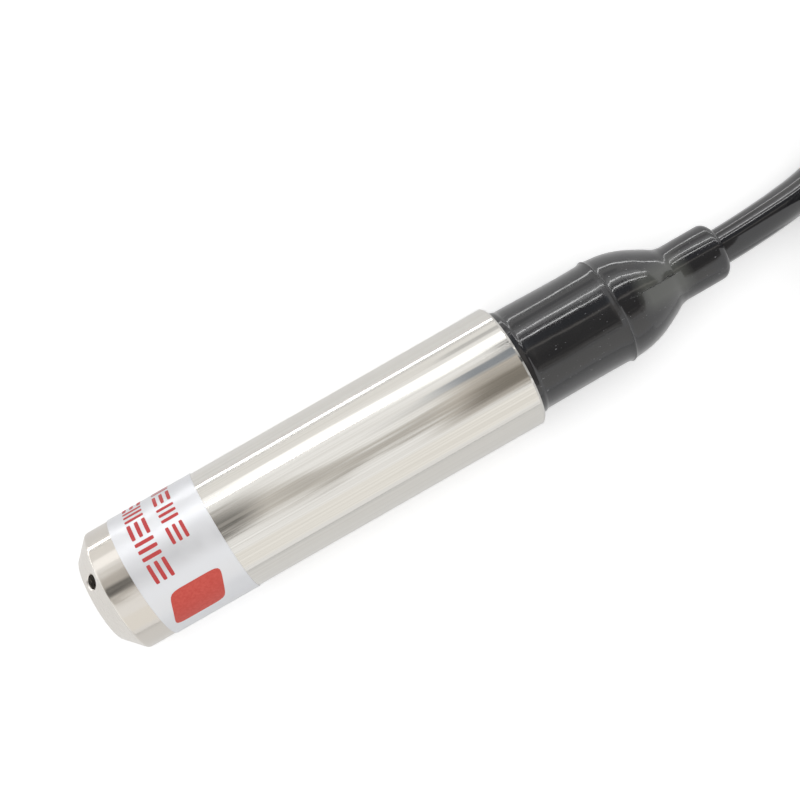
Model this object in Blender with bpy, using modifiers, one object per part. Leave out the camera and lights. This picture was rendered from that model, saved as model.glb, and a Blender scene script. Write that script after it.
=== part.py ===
"""Submersible level transmitter with its vented cable wound into a hank.

The probe lies on its side: its axis runs along X, the nose points to -X and the cable leaves at +X.
Stations along the probe are measured from the nose tip. Metres, +Z up.
"""

import math

import bpy
import bmesh
from mathutils import Matrix, Vector

MM = 0.001

# Clearances
FIT = 0.3 * MM  # between a piece and its seat
LABEL_LIFT = 0.05 * MM  # glue under the label

# Facets round a turned piece
SIDES = 48
BOOT_SIDES = 40
INNER_SIDES = 24
SMALL_SIDES = 16

# Probe tube
TUBE_R = 13.5 * MM
UNIT = TUBE_R / 13.5  # a millimetre in a 27 mm tube, for all that grows with the tube
TUBE_WALL = 1.5 * UNIT
TUBE_LENGTH = 79.2 * MM
TUBE_CHAMFER = 0.5 * MM
TUBE_BORE_R = TUBE_R - TUBE_WALL
SPIGOT_R = TUBE_BORE_R - FIT  # of the pieces that slide into the tube

# Nose cap
NOSE_FACE_R = 9.2 * UNIT
CONE_LENGTH = 4.1 * MM
CAP_LENGTH = 18.1 * MM
CAP_SPIGOT_LENGTH = 9.0 * MM
CAP_SPIGOT_WALL = 1.9 * UNIT
CHAMBER_START = 2.0 * MM
CHAMBER_STEP = 2.1 * UNIT  # from the cell's radius
CHAMBER_END = 8.6 * MM
INLET_R = 1.55 * MM
INLET_COUNT = 3
FIRST_INLET_DEG = 21.0  # from the top towards +Y
SEAL_GROOVE_WIDTH = 2.2 * MM
SEAL_GROOVE_DEPTH = 1.4 * UNIT
CAP_GROOVE_SETBACK = 3.0 * MM
SEAL_CORD_R = 0.65 * UNIT
SEAL_GAP = 0.25 * MM

# Sensor cell
CELL_R = SPIGOT_R - CAP_SPIGOT_WALL - FIT
CELL_LENGTH = 12.0 * MM
CELL_RIM = 1.9 * UNIT
CELL_RECESS_R = CELL_R - CELL_RIM
CELL_RECESS_DEPTH = 1.0 * MM
CELL_GROOVE_START = 3.0 * MM
CELL_GROOVE_WIDTH = 1.8 * MM
CELL_GROOVE_DEPTH = 1.2 * MM
CELL_SEAL_CORD_R = 0.5 * MM
DIAPHRAGM_SHEET = 0.12 * MM
DIAPHRAGM_WAVE = 0.12 * MM
DIAPHRAGM_WAVES = 3
RING_LENGTH = 4.0 * MM
RING_WALL = 3.1 * UNIT
RING_INNER_R = CELL_R - RING_WALL
RING_SLOT_WIDTH = 2.0 * MM
RING_SLOT_DEPTH = 1.6 * MM
HEADER_MARGIN = 0.4 * UNIT  # inside the retaining ring
HEADER_R = RING_INNER_R - HEADER_MARGIN
HEADER_THICKNESS = 1.2 * MM
PIN_R = 0.35 * MM
PIN_LENGTH = 4.5 * MM
PIN_SPREAD = 2.7 * UNIT  # each way from the axis, across and up
CELL_VENT_R = 0.8 * MM
CELL_VENT_BORE_R = 0.4 * MM
CELL_VENT_LENGTH = 6.0 * MM

# Board and its holders
HOLDER_LENGTH = 4.0 * MM
HOLDER_WALL = 4.2 * UNIT
HOLDER_INNER_R = SPIGOT_R - HOLDER_WALL
HOLDER_GAP = 2.0 * MM  # from the cap's spigot to the front holder
HOLDER_NOTCH_DEPTH = 3.0 * MM
BOARD_MARGIN = 3.2 * UNIT  # from the holder's radius to the board's edge
BOARD_WIDTH = 2 * (SPIGOT_R - BOARD_MARGIN)
BOARD_THICKNESS = 1.6 * MM
SLEEVE_WALL = 0.7 * MM
WIRE_R = 0.35 * MM
CORE_R = 0.8 * MM
CAPILLARY_R = 0.7 * MM
CAPILLARY_BORE_R = 0.35 * MM
END_VENT_R = 1.0 * MM

# Terminal block on the board, with its place as a share of the board's length
TERMINAL_LENGTH = 9.0 * MM
TERMINAL_WIDTH = 10.2 * UNIT
TERMINAL_HEADROOM = 3.6 * UNIT
TERMINAL_HEIGHT = SPIGOT_R - SLEEVE_WALL - TERMINAL_HEADROOM
TERMINAL_PITCH = 5.0 * UNIT
TERMINAL_SHARE = 0.84
ENTRY_RISE = 3.4 * MM
ENTRY_DEPTH = 6.0 * MM
SCREW_HOLE_R = 1.6 * MM
SCREW_DEPTH = 2.4 * MM

# Leads on each side of the amplifier chip
AMPLIFIER_LEADS = 4

# Cable
CABLE_R = 3.9 * MM
FERRULE_R = 5.2 * MM
FERRULE_LENGTH = 3.2 * MM

# Cable boot
BOOT_TUCK = 1.5 * MM  # inside the tube's mouth
BOOT_LIP_LENGTH = 1.6 * MM
BOOT_STEP = 0.62 * UNIT  # from the tube's bore to the boot's body
BOOT_BODY_R = TUBE_BORE_R - BOOT_STEP
BOOT_WAIST = 0.18 * UNIT  # how far the body draws in
BOOT_BODY_LENGTH = 22.7 * MM  # from the tube's rim
BOOT_BODY_WALL = 1.48 * UNIT
BOOT_WALL = 1.35 * MM  # in the shoulder
SEAM_STATION = 22.2 * MM  # from the tube's rim
SEAM_WIDTH = 0.6 * MM
SEAM_HEIGHT = 0.3 * MM
SHOULDER_LENGTH = 15.3 * MM
NECK_R = 6.2 * MM
NECK_LENGTH = 10.4 * MM
NECK_ROUND = 1.8 * MM
SHOULDER_CURVE = ((0.22, 0.075), (0.36, 0.17), (0.5, 0.31), (0.64, 0.5), (0.78, 0.72), (0.9, 0.925))

# Gland
GLAND_SPIGOT_LENGTH = 10.7 * MM
GLAND_GROOVE_START = 4.0 * MM
BOSS_R = BOOT_BODY_R - BOOT_BODY_WALL - FIT
BOSS_LENGTH = 23.8 * MM
BOSS_WALL = 2.1 * UNIT
GROMMET_SEAT_R = BOSS_R - BOSS_WALL
GROMMET_SEAT_DEPTH = 12.5 * MM
GROMMET_LENGTH = 6.8 * MM
GROMMET_TAPER = 1.5 * MM
WASHER_THICKNESS = 0.8 * MM
NUT_HEAD_LENGTH = 5.2 * MM
NUT_MARGIN = 2.0 * UNIT  # from the gland's boss to the nut's flats

# Label
LABEL_START = 9.9 * MM
LABEL_WIDTH = 19.5 * MM
LABEL_THICKNESS = 0.12 * MM
LABEL_SKEW_DEG = 1.5
LABEL_FIRST_DEG = -165.0

# Hank of cable beside the probe
HANK_REACH = 27.0 * MM  # from the boot's end to the hank's near end
HANK_RUN_Y = 9.6 * MM  # outer turns of the run beside the probe's axis
HANK_RUN = 66.0 * MM
HANK_OUTER_BEND_R = 31.2 * MM
HANK_INNER_BEND_R = 23.4 * MM
HANK_LAYERS = 5
HANK_BASE_Z = 1.2 * MM
HANK_EDGE_R = 3.0 * MM
END_RED_LENGTH = 32.0 * MM
END_BLACK_LENGTH = 30.0 * MM
END_VENT_LENGTH = 24.0 * MM
END_NOTCH_SPARE = 6.0 * MM  # beyond the longest core
END_NOTCH_REACH = 12.0 * MM  # past the near bend's centre, along the run
END_NOTCH_SIDE = 5.0 * MM  # into the slot between the runs
TIE_SHARE = 0.5  # of the run
TIE_WIDTH = 12.0 * MM
TIE_THICKNESS = 0.9 * MM
TIE_CORNER_R = 4.0 * MM

# The lead from the boot down to the hank's lowest layer, chosen by hand: each point's distance
# from the boot's end, its distance from the axis, and its share of the way down
LEAD_ROUTE = (
    (0.3 * MM, 0.0 * MM, 0.0),
    (5.55 * MM, 0.17 * MM, 0.008),
    (11.05 * MM, 0.5 * MM, 0.055),
    (16.55 * MM, 0.97 * MM, 0.165),
    (22.55 * MM, 1.7 * MM, 0.34),
    (28.55 * MM, 2.9 * MM, 0.54),
    (33.4 * MM, 4.25 * MM, 0.69),
)

# Stations along the probe
TUBE_START = CAP_LENGTH + FIT
TUBE_END = TUBE_START + TUBE_LENGTH
CAP_END = CAP_LENGTH + CAP_SPIGOT_LENGTH
CELL_BORE_R = CELL_R + FIT
CHAMBER_R = CELL_R - CHAMBER_STEP
CELL_START = CHAMBER_END + FIT
CELL_END = CELL_START + CELL_LENGTH
RING_START = CELL_END + FIT
HEADER_END = RING_START + HEADER_THICKNESS
FRONT_HOLDER_START = CAP_END + HOLDER_GAP
BOARD_START = FRONT_HOLDER_START + HOLDER_LENGTH - HOLDER_NOTCH_DEPTH + FIT
BOOT_START = TUBE_END - BOOT_TUCK
GLAND_FLANGE_END = BOOT_START - FIT
GLAND_START = GLAND_FLANGE_END - GLAND_SPIGOT_LENGTH
FERRULE_START = GLAND_START - FIT - FERRULE_LENGTH
CABLE_START = FERRULE_START - FIT
REAR_HOLDER_END = CABLE_START - FIT
BOARD_END = REAR_HOLDER_END - HOLDER_LENGTH + HOLDER_NOTCH_DEPTH - FIT
BOSS_END = GLAND_FLANGE_END + BOSS_LENGTH
GROMMET_START = BOSS_END - GROMMET_SEAT_DEPTH + FIT
WASHER_START = GROMMET_START + GROMMET_LENGTH + FIT
NUT_START = WASHER_START + WASHER_THICKNESS + FIT
NUT_HEAD_START = BOSS_END + FIT
CABLE_BORE_R = CABLE_R + FIT
SHOULDER_START = TUBE_END + BOOT_BODY_LENGTH
NECK_START = SHOULDER_START + SHOULDER_LENGTH
NECK_END = NECK_START + NECK_LENGTH

# Where the probe lies
LABEL_INNER_R = TUBE_R + LABEL_LIFT
AXIS_Z = LABEL_INNER_R + LABEL_THICKNESS
NOSE_X = -NECK_END / 2
NECK_X = NOSE_X + NECK_END

# Where the hank lies
HANK_NEAR_X = NECK_X + HANK_REACH + HANK_OUTER_BEND_R + CABLE_R  # centre of the near bend
HANK_Y = HANK_RUN_Y - HANK_OUTER_BEND_R
HANK_FIRST_Z = HANK_BASE_Z + CABLE_R
END_NOTCH_LENGTH = END_RED_LENGTH + END_NOTCH_SPARE

PARTS = "level_transmitter"
CUTTERS = "cutters"


def clear_scene():
    for old in list(bpy.data.objects):
        bpy.data.objects.remove(old, do_unlink=True)


def collection(name):
    made = bpy.data.collections.new(name)
    bpy.context.scene.collection.children.link(made)
    return made


def material(name, colour, roughness, metallic=0.0):
    made = bpy.data.materials.new(name)
    made.use_nodes = True
    made.diffuse_color = (*colour, 1.0)
    shader = made.node_tree.nodes["Principled BSDF"]
    shader.inputs["Base Color"].default_value = (*colour, 1.0)
    shader.inputs["Roughness"].default_value = roughness
    shader.inputs["Metallic"].default_value = metallic
    return made


def make_materials():
    return {
        "stainless_steel": material("stainless_steel", (0.62, 0.60, 0.57), 0.2, 1.0),
        "satin_steel": material("satin_steel", (0.60, 0.59, 0.57), 0.42, 1.0),
        "brass": material("brass", (0.72, 0.52, 0.24), 0.3, 1.0),
        "black_rubber": material("black_rubber", (0.015, 0.015, 0.016), 0.3),
        "cable_black": material("cable_black", (0.02, 0.02, 0.022), 0.28),
        "label_foil": material("label_foil", (0.72, 0.72, 0.74), 0.35, 0.6),
        "board_green": material("board_green", (0.02, 0.16, 0.07), 0.4),
        "component_black": material("component_black", (0.03, 0.03, 0.03), 0.5),
        "component_blue": material("component_blue", (0.03, 0.12, 0.45), 0.4),
        "holder_white": material("holder_white", (0.75, 0.74, 0.70), 0.5),
        "core_red": material("core_red", (0.62, 0.02, 0.02), 0.4),
        "core_black": material("core_black", (0.02, 0.02, 0.02), 0.4),
        "vent_clear": material("vent_clear", (0.80, 0.80, 0.76), 0.3),
        "strap_fabric": material("strap_fabric", (0.02, 0.02, 0.022), 0.8),
    }


def at(station, across=0.0, up=0.0):
    """World point at a station along the probe, and beside or above its axis."""
    return Vector((NOSE_X + station, across, AXIS_Z + up))


def add(name, data, finish, where=None):
    made = bpy.data.objects.new(name, data)
    (where or bpy.data.collections[PARTS]).objects.link(made)
    if finish is not None:
        made.data.materials.append(finish)
    return made


def on_probe_axis(piece):
    """Turn a piece made round Z so that its Z runs along the probe from the nose tip."""
    piece.rotation_euler = (0.0, math.pi / 2, 0.0)
    piece.location = at(0.0)
    return piece


def turned(name, outline, finish, steps=SIDES, closed=True):
    """Revolve an outline of (radius, station) points that runs down its outer side.

    A closed outline goes on up its bore. An open one starts and ends on the axis.
    """
    mesh = bpy.data.meshes.new(name)
    points = [(radius, 0.0, station) for radius, station in outline]
    edges = [(i, i + 1) for i in range(len(points) - 1)]
    if closed:
        edges.append((len(points) - 1, 0))
    mesh.from_pydata(points, edges, [])
    made = add(name, mesh, finish)
    screw = made.modifiers.new("turn", "SCREW")
    screw.axis = "Z"
    screw.angle = 2 * math.pi
    screw.steps = steps
    screw.render_steps = steps
    screw.use_merge_vertices = True
    screw.merge_threshold = 0.000005
    screw.use_smooth_shade = True
    return made


def ring(name, outer_r, inner_r, start, end, finish, steps=INNER_SIDES):
    outline = [(outer_r, end), (outer_r, start), (inner_r, start), (inner_r, end)]
    return on_probe_axis(turned(name, outline, finish, steps))


def box(name, size, centre, finish, bevel=0.0, where=None):
    mesh = bpy.data.meshes.new(name)
    form = bmesh.new()
    bmesh.ops.create_cube(form, size=1.0, matrix=Matrix.Diagonal((*size, 1.0)))
    form.to_mesh(mesh)
    form.free()
    made = add(name, mesh, finish, where)
    made.location = centre
    if bevel:
        edge = made.modifiers.new("edges", "BEVEL")
        edge.width = bevel
        edge.segments = 1
    return made


def rod(name, radius, length, centre, direction, finish, sides=SMALL_SIDES, where=None):
    """A cylinder round its centre, along a direction."""
    mesh = bpy.data.meshes.new(name)
    form = bmesh.new()
    bmesh.ops.create_cone(
        form, cap_ends=True, segments=sides, radius1=radius, radius2=radius, depth=length
    )
    form.to_mesh(mesh)
    form.free()
    made = add(name, mesh, finish, where)
    made.rotation_euler = direction.to_track_quat("Z", "Y").to_euler()
    made.location = centre
    return made


def as_tool(piece):
    piece.hide_render = True
    piece.display_type = "WIRE"
    return piece


def tool_box(name, size, centre):
    return as_tool(box(name, size, centre, None, where=bpy.data.collections[CUTTERS]))


def tool_rod(name, radius, length, centre, direction, sides=SMALL_SIDES):
    where = bpy.data.collections[CUTTERS]
    return as_tool(rod(name, radius, length, centre, direction, None, sides, where))


def shape(target, tool, operation="DIFFERENCE"):
    change = target.modifiers.new(tool.name, "BOOLEAN")
    change.operation = operation
    change.object = tool
    change.solver = "EXACT"
    return target


def seal(name, centre_r, cord_r, station, finish):
    """A round rubber seal on the probe's axis."""
    bpy.ops.mesh.primitive_torus_add(
        major_radius=centre_r,
        minor_radius=cord_r,
        major_segments=INNER_SIDES,
        minor_segments=6,
        location=at(station),
        rotation=(0.0, math.pi / 2, 0.0),
    )
    made = bpy.context.object
    made.name = name
    made.data.name = name
    for owner in list(made.users_collection):
        owner.objects.unlink(made)
    bpy.data.collections[PARTS].objects.link(made)
    made.data.materials.append(finish)
    made.data.shade_smooth()
    return made


def smooth_route(points, pieces_per_span):
    """Points on one smooth curve through the route's own points."""
    ends = [points[0] * 2 - points[1], *points, points[-1] * 2 - points[-2]]
    route = []
    for i in range(1, len(ends) - 2):
        before, here, there, after = ends[i - 1 : i + 3]
        for step in range(pieces_per_span):
            t = step / pieces_per_span
            route.append(
                0.5
                * (
                    here * 2
                    + (there - before) * t
                    + (before * 2 - here * 5 + there * 4 - after) * t**2
                    + (here * 3 - before - there * 3 + after) * t**3
                )
            )
    route.append(points[-1])
    return route


def wire(name, points, radius, finish, pieces_per_span=1, resolution=2):
    """A round wire along a smooth route of world points."""
    curve = bpy.data.curves.new(name, "CURVE")
    curve.dimensions = "3D"
    curve.bevel_depth = radius
    curve.bevel_resolution = resolution
    curve.use_fill_caps = True
    route = smooth_route([Vector(p) for p in points], pieces_per_span)
    spline = curve.splines.new("POLY")
    spline.points.add(len(route) - 1)
    for point, place in zip(spline.points, route):
        point.co = (*place, 1.0)
    spline.use_smooth = True
    return add(name, curve, finish)


def plate(name, outlines, thickness, finish, edge_r=0.0):
    """A flat outline with its holes in the XY plane, given a thickness along Z.

    A rounded edge grows out of the outline by its radius, on every side.
    """
    curve = bpy.data.curves.new(name, "CURVE")
    curve.dimensions = "2D"
    curve.fill_mode = "BOTH"
    curve.extrude = thickness / 2 - edge_r
    curve.bevel_depth = edge_r
    curve.bevel_resolution = 1
    for outline in outlines:
        spline = curve.splines.new("POLY")
        spline.points.add(len(outline) - 1)
        for point, (x, y) in zip(spline.points, outline):
            point.co = (x, y, 0.0, 1.0)
        spline.use_cyclic_u = True
    return add(name, curve, finish)


def as_mesh(piece):
    """Replace a curve object by a mesh with welded caps."""
    evaluated = piece.evaluated_get(bpy.context.evaluated_depsgraph_get())
    mesh = bpy.data.meshes.new_from_object(evaluated)
    form = bmesh.new()
    form.from_mesh(mesh)
    bmesh.ops.remove_doubles(form, verts=form.verts, dist=0.000001)
    form.to_mesh(mesh)
    form.free()
    name = piece.name
    place = piece.matrix_world.copy()
    bpy.data.objects.remove(piece, do_unlink=True)
    mesh.name = name
    made = bpy.data.objects.new(name, mesh)
    bpy.data.collections[PARTS].objects.link(made)
    made.matrix_world = place
    return made


def rounded(corner_x, corner_y, radius, first_deg, steps=4):
    """Points of a quarter arc round a corner's centre."""
    angles = [math.radians(first_deg + 90.0 * i / steps) for i in range(steps + 1)]
    return [(corner_x + radius * math.cos(a), corner_y + radius * math.sin(a)) for a in angles]


def rounded_rectangle(width, height, radius):
    across, up = width / 2 - radius, height / 2 - radius
    corners = ((across, up, 0.0), (-across, up, 90.0), (-across, -up, 180.0), (across, -up, 270.0))
    return [p for x, y, first in corners for p in rounded(x, y, radius, first)]


# Nose and tube


def make_nose_cap(finish):
    groove_start = CAP_END - CAP_GROOVE_SETBACK - SEAL_GROOVE_WIDTH
    groove_end = CAP_END - CAP_GROOVE_SETBACK
    groove_r = SPIGOT_R - SEAL_GROOVE_DEPTH
    outline = [
        (SPIGOT_R, CAP_END),
        (SPIGOT_R, groove_end),
        (groove_r, groove_end),
        (groove_r, groove_start),
        (SPIGOT_R, groove_start),
        (SPIGOT_R, CAP_LENGTH),
        (TUBE_R, CAP_LENGTH),
        (TUBE_R, CONE_LENGTH),
        (NOSE_FACE_R, 0.0),
        (0.0, 0.0),
        (0.0, CHAMBER_START),
        (CHAMBER_R, CHAMBER_START),
        (CHAMBER_R, CHAMBER_END),
        (CELL_BORE_R, CHAMBER_END),
        (CELL_BORE_R, CAP_END),
    ]
    cap = turned("nose_cap", outline, finish)
    on_probe_axis(cap)
    slant = math.hypot(CONE_LENGTH, TUBE_R - NOSE_FACE_R)
    out_share, back_share = CONE_LENGTH / slant, (TUBE_R - NOSE_FACE_R) / slant
    middle_r = (TUBE_R + NOSE_FACE_R) / 2
    for i in range(INLET_COUNT):
        turn = math.radians(FIRST_INLET_DEG + 360.0 * i / INLET_COUNT)
        outward = Vector((0.0, math.sin(turn), math.cos(turn)))
        direction = outward * out_share - Vector((1.0, 0.0, 0.0)) * back_share
        centre = at(CONE_LENGTH / 2) + outward * middle_r
        length = 2 * (middle_r - CHAMBER_R) / out_share + 2 * INLET_R
        shape(cap, tool_rod(f"inlet_{i + 1}", INLET_R, length, centre, direction, 20))
    return cap


def make_seals(finish):
    seal_r = TUBE_BORE_R - SEAL_GAP - SEAL_CORD_R
    cap_station = CAP_END - CAP_GROOVE_SETBACK - SEAL_GROOVE_WIDTH / 2
    gland_station = GLAND_START + GLAND_GROOVE_START + SEAL_GROOVE_WIDTH / 2
    seal("nose_seal", seal_r, SEAL_CORD_R, cap_station, finish)
    seal("gland_seal", seal_r, SEAL_CORD_R, gland_station, finish)
    cell_station = CELL_START + CELL_GROOVE_START + CELL_GROOVE_WIDTH / 2
    seal("cell_seal", CELL_BORE_R - FIT - CELL_SEAL_CORD_R, CELL_SEAL_CORD_R, cell_station, finish)


def make_probe_tube(finish):
    outline = [
        (TUBE_R - TUBE_CHAMFER, TUBE_END),
        (TUBE_R, TUBE_END - TUBE_CHAMFER),
        (TUBE_R, TUBE_START + TUBE_CHAMFER / 2),
        (TUBE_R - TUBE_CHAMFER / 2, TUBE_START),
        (TUBE_BORE_R, TUBE_START),
        (TUBE_BORE_R, TUBE_END),
    ]
    return on_probe_axis(turned("probe_tube", outline, finish))


def make_label(finish):
    """A thin foil strip wrapped a little skewed round the tube, with a gap where its ends meet."""
    mesh = bpy.data.meshes.new("label_band")
    form = bmesh.new()
    lean = math.tan(math.radians(LABEL_SKEW_DEG))
    rows = []
    for i in range(SIDES):
        turn = math.radians(LABEL_FIRST_DEG + 360.0 * i / SIDES)
        shift = LABEL_START - LABEL_INNER_R * turn * lean
        across, up = LABEL_INNER_R * math.sin(turn), LABEL_INNER_R * math.cos(turn)
        rows.append([form.verts.new(at(shift + w, across, up)) for w in (0.0, LABEL_WIDTH)])
    for here, there in zip(rows, rows[1:]):
        form.faces.new((here[0], here[1], there[1], there[0]))
    bmesh.ops.recalc_face_normals(form, faces=form.faces)
    if form.faces[0].normal.dot(form.faces[0].calc_center_median() - at(LABEL_START)) < 0:
        bmesh.ops.reverse_faces(form, faces=form.faces)
    form.to_mesh(mesh)
    form.free()
    mesh.shade_smooth()
    label = add("label_band", mesh, finish)
    sheet = label.modifiers.new("foil", "SOLIDIFY")
    sheet.thickness = LABEL_THICKNESS
    sheet.offset = 1.0
    return label


# Sensor cell behind the inlet chamber


def make_sensor_cell(finish):
    groove_start = CELL_START + CELL_GROOVE_START
    groove_end = groove_start + CELL_GROOVE_WIDTH
    outline = [
        (0.0, CELL_END),
        (CELL_R, CELL_END),
        (CELL_R, groove_end),
        (CELL_R - CELL_GROOVE_DEPTH, groove_end),
        (CELL_R - CELL_GROOVE_DEPTH, groove_start),
        (CELL_R, groove_start),
        (CELL_R, CELL_START),
        (CELL_RECESS_R, CELL_START),
        (CELL_RECESS_R, CELL_START + CELL_RECESS_DEPTH),
        (0.0, CELL_START + CELL_RECESS_DEPTH),
    ]
    return on_probe_axis(turned("sensor_cell", outline, finish, INNER_SIDES, closed=False))


def make_diaphragm(finish):
    """A thin corrugated disc in the cell's recess."""
    rim_r = CELL_RECESS_R - FIT
    back = CELL_START + CELL_RECESS_DEPTH - FIT - DIAPHRAGM_WAVE
    steps = 4 * DIAPHRAGM_WAVES
    wave = []
    for i in range(steps + 1):
        share = i / steps
        height = DIAPHRAGM_WAVE * math.sin(2 * math.pi * DIAPHRAGM_WAVES * share)
        wave.append((rim_r * share, back + height))
    front = [(radius, station - DIAPHRAGM_SHEET) for radius, station in reversed(wave)]
    return on_probe_axis(turned("diaphragm", wave + front, finish, INNER_SIDES, closed=False))


def make_retaining_ring(finish):
    end = RING_START + RING_LENGTH
    made = ring("retaining_ring", CELL_R, RING_INNER_R, RING_START, end, finish)
    slot = (2 * RING_SLOT_DEPTH, 3 * CELL_R, RING_SLOT_WIDTH)
    return shape(made, tool_box("ring_slot", slot, at(end)))


def make_cell_header(finish):
    outline = [(0.0, HEADER_END), (HEADER_R, HEADER_END), (HEADER_R, RING_START), (0.0, RING_START)]
    header = on_probe_axis(turned("cell_header", outline, finish, INNER_SIDES, closed=False))
    middle = HEADER_END + (PIN_LENGTH - HEADER_THICKNESS / 2) / 2
    length = PIN_LENGTH + HEADER_THICKNESS / 2
    along = Vector((1.0, 0.0, 0.0))
    for i, (across, up) in enumerate(wire_places()):
        pin = tool_rod(f"header_pin_{i + 1}", PIN_R, length, at(middle, across, up), along, 8)
        shape(header, pin, "UNION")
    return header


def wire_places():
    return [(side * PIN_SPREAD, level * PIN_SPREAD) for level in (1, -1) for side in (1, -1)]


def make_cell_vent(finish):
    start = HEADER_END + FIT
    end = start + CELL_VENT_LENGTH
    return ring("cell_vent_tube", CELL_VENT_R, CELL_VENT_BORE_R, start, end, finish, SMALL_SIDES)


def make_signal_wires(finishes):
    start = HEADER_END + PIN_LENGTH + FIT
    pad = BOARD_THICKNESS / 2 + FIT + WIRE_R
    for i, (across, up) in enumerate(wire_places()):
        level = math.copysign(1.0, up)
        stations = (start, start + 2.5 * MM, BOARD_START + 2 * MM, BOARD_START + 4 * MM)
        heights = (up, up, (up + level * pad) / 2, level * pad)
        points = [at(s, across, h) for s, h in zip(stations, heights)]
        points.append(at(BOARD_START + 6.5 * MM, across, level * pad))
        wire(f"signal_wire_{i + 1}", points, WIRE_R, finishes[i % len(finishes)], 2, 1)


# Board and what is on it


def make_board_holders(finish):
    notch = (
        HOLDER_NOTCH_DEPTH * 2,
        BOARD_WIDTH + 2 * FIT,
        BOARD_THICKNESS + 2 * FIT,
    )
    front_end = FRONT_HOLDER_START + HOLDER_LENGTH
    rear_start = REAR_HOLDER_END - HOLDER_LENGTH
    places = (
        ("front_board_holder", FRONT_HOLDER_START, front_end),
        ("rear_board_holder", REAR_HOLDER_END, rear_start),
    )
    for name, closed_face, open_face in places:
        low, high = sorted((closed_face, open_face))
        holder = ring(name, SPIGOT_R, HOLDER_INNER_R, low, high, finish)
        shape(holder, tool_box(name + "_notch", notch, at(open_face)))


def make_board(finish):
    size = (BOARD_END - BOARD_START, BOARD_WIDTH, BOARD_THICKNESS)
    return box("circuit_board", size, at((BOARD_START + BOARD_END) / 2), finish)


def on_board(share, across, height, side=1):
    """Centre of a component of a given height, at a share of the board's length."""
    up = side * (BOARD_THICKNESS / 2 + FIT + height / 2)
    return at(BOARD_START + share * (BOARD_END - BOARD_START), across, up)


def make_amplifier(body_finish):
    length, width, height = 5.4 * UNIT, 7.5 * UNIT, 2.2 * UNIT
    pitch, lead_width = 1.27 * UNIT, 0.42 * UNIT
    reach, foot, sheet = 10.2 * UNIT, 1.2 * UNIT, 0.3 * UNIT
    centre = on_board(0.29, 0.0, height)
    chip = box("amplifier_chip", (length, width, height), centre, body_finish)
    base = centre.z - height / 2
    for i in range(AMPLIFIER_LEADS):
        x = centre.x + (i - (AMPLIFIER_LEADS - 1) / 2) * pitch
        bar = tool_box(
            f"lead_bar_{i + 1}", (lead_width, reach - foot, sheet), (x, 0.0, base + height / 2)
        )
        shape(chip, bar, "UNION")
        for side in (-1, 1):
            y = side * (reach - foot) / 2
            drop = tool_box(
                f"lead_foot_{i + 1}_{side}",
                (lead_width, sheet * 2, height / 2 + sheet / 2),
                (x, y, base + height / 4 + sheet / 4),
            )
            shape(chip, drop, "UNION")
    return chip


def make_trimmer(name, share, across, finish):
    size, height, dial_r = 6.4 * UNIT, 4.8 * UNIT, 2.3 * UNIT
    dial_rise, slot_width, slot_depth = 0.5 * MM, 0.7 * MM, 0.8 * MM
    centre = on_board(share, across, height)
    trimmer = box(name, (size, size, height), centre, finish, 0.3 * MM)
    top = centre + Vector((0.0, 0.0, height / 2))
    up = Vector((0.0, 0.0, 1.0))
    shape(trimmer, tool_rod(name + "_dial", dial_r, 2 * dial_rise, top, up), "UNION")
    slot = (slot_width, 2.2 * dial_r, 2 * slot_depth)
    return shape(trimmer, tool_box(name + "_slot", slot, top + up * dial_rise))


def make_transistor(finish):
    length, width, height = 6.1 * UNIT, 6.6 * UNIT, 2.3 * UNIT
    tab, lead, sheet = (2.4 * UNIT, 5.2 * UNIT), (5.6 * UNIT, 0.8 * UNIT), 0.5 * UNIT
    centre = on_board(0.46, 0.0, height, -1)
    made = box("loop_transistor", (length, width, height), centre, finish, 0.25 * MM)
    face = centre.z + height / 2 - sheet / 2 - 0.1 * MM
    tab_x = centre.x - length / 2
    shape(made, tool_box("transistor_tab", (*tab, sheet), (tab_x, 0.0, face)), "UNION")
    for side in (-1, 1):
        place = (centre.x + length / 2, side * width / 4, face)
        shape(made, tool_box(f"transistor_lead_{side}", (*lead, sheet), place), "UNION")
    return made


def make_capacitor(name, share, across, finish):
    can_r, height, groove = 2.5 * UNIT, 5.4 * UNIT, 0.25 * UNIT
    base = BOARD_THICKNESS / 2 + FIT
    outline = [
        (0.0, -base),
        (can_r, -base),
        (can_r, -base - 1.0 * MM),
        (can_r - groove, -base - 1.3 * MM),
        (can_r, -base - 1.6 * MM),
        (can_r, -base - height + 0.4 * MM),
        (can_r - 0.4 * MM, -base - height),
        (0.0, -base - height),
    ]
    made = turned(name, outline, finish, 20, closed=False)
    made.location = at(BOARD_START + share * (BOARD_END - BOARD_START), across)
    return made


def make_surge_arrester(finish):
    body_r, end_r, length, cap = 2.5 * UNIT, 2.8 * UNIT, 6.4 * UNIT, 1.0 * UNIT
    half = length / 2
    outline = [
        (0.0, half),
        (end_r, half),
        (end_r, half - cap),
        (body_r, half - cap),
        (body_r, cap - half),
        (end_r, cap - half),
        (end_r, -half),
        (0.0, -half),
    ]
    made = turned("surge_arrester", outline, finish, 20, closed=False)
    made.rotation_euler = (math.pi / 2, 0.0, 0.0)
    made.location = on_board(0.2, 0.0, 2 * end_r, -1)
    return made


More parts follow.
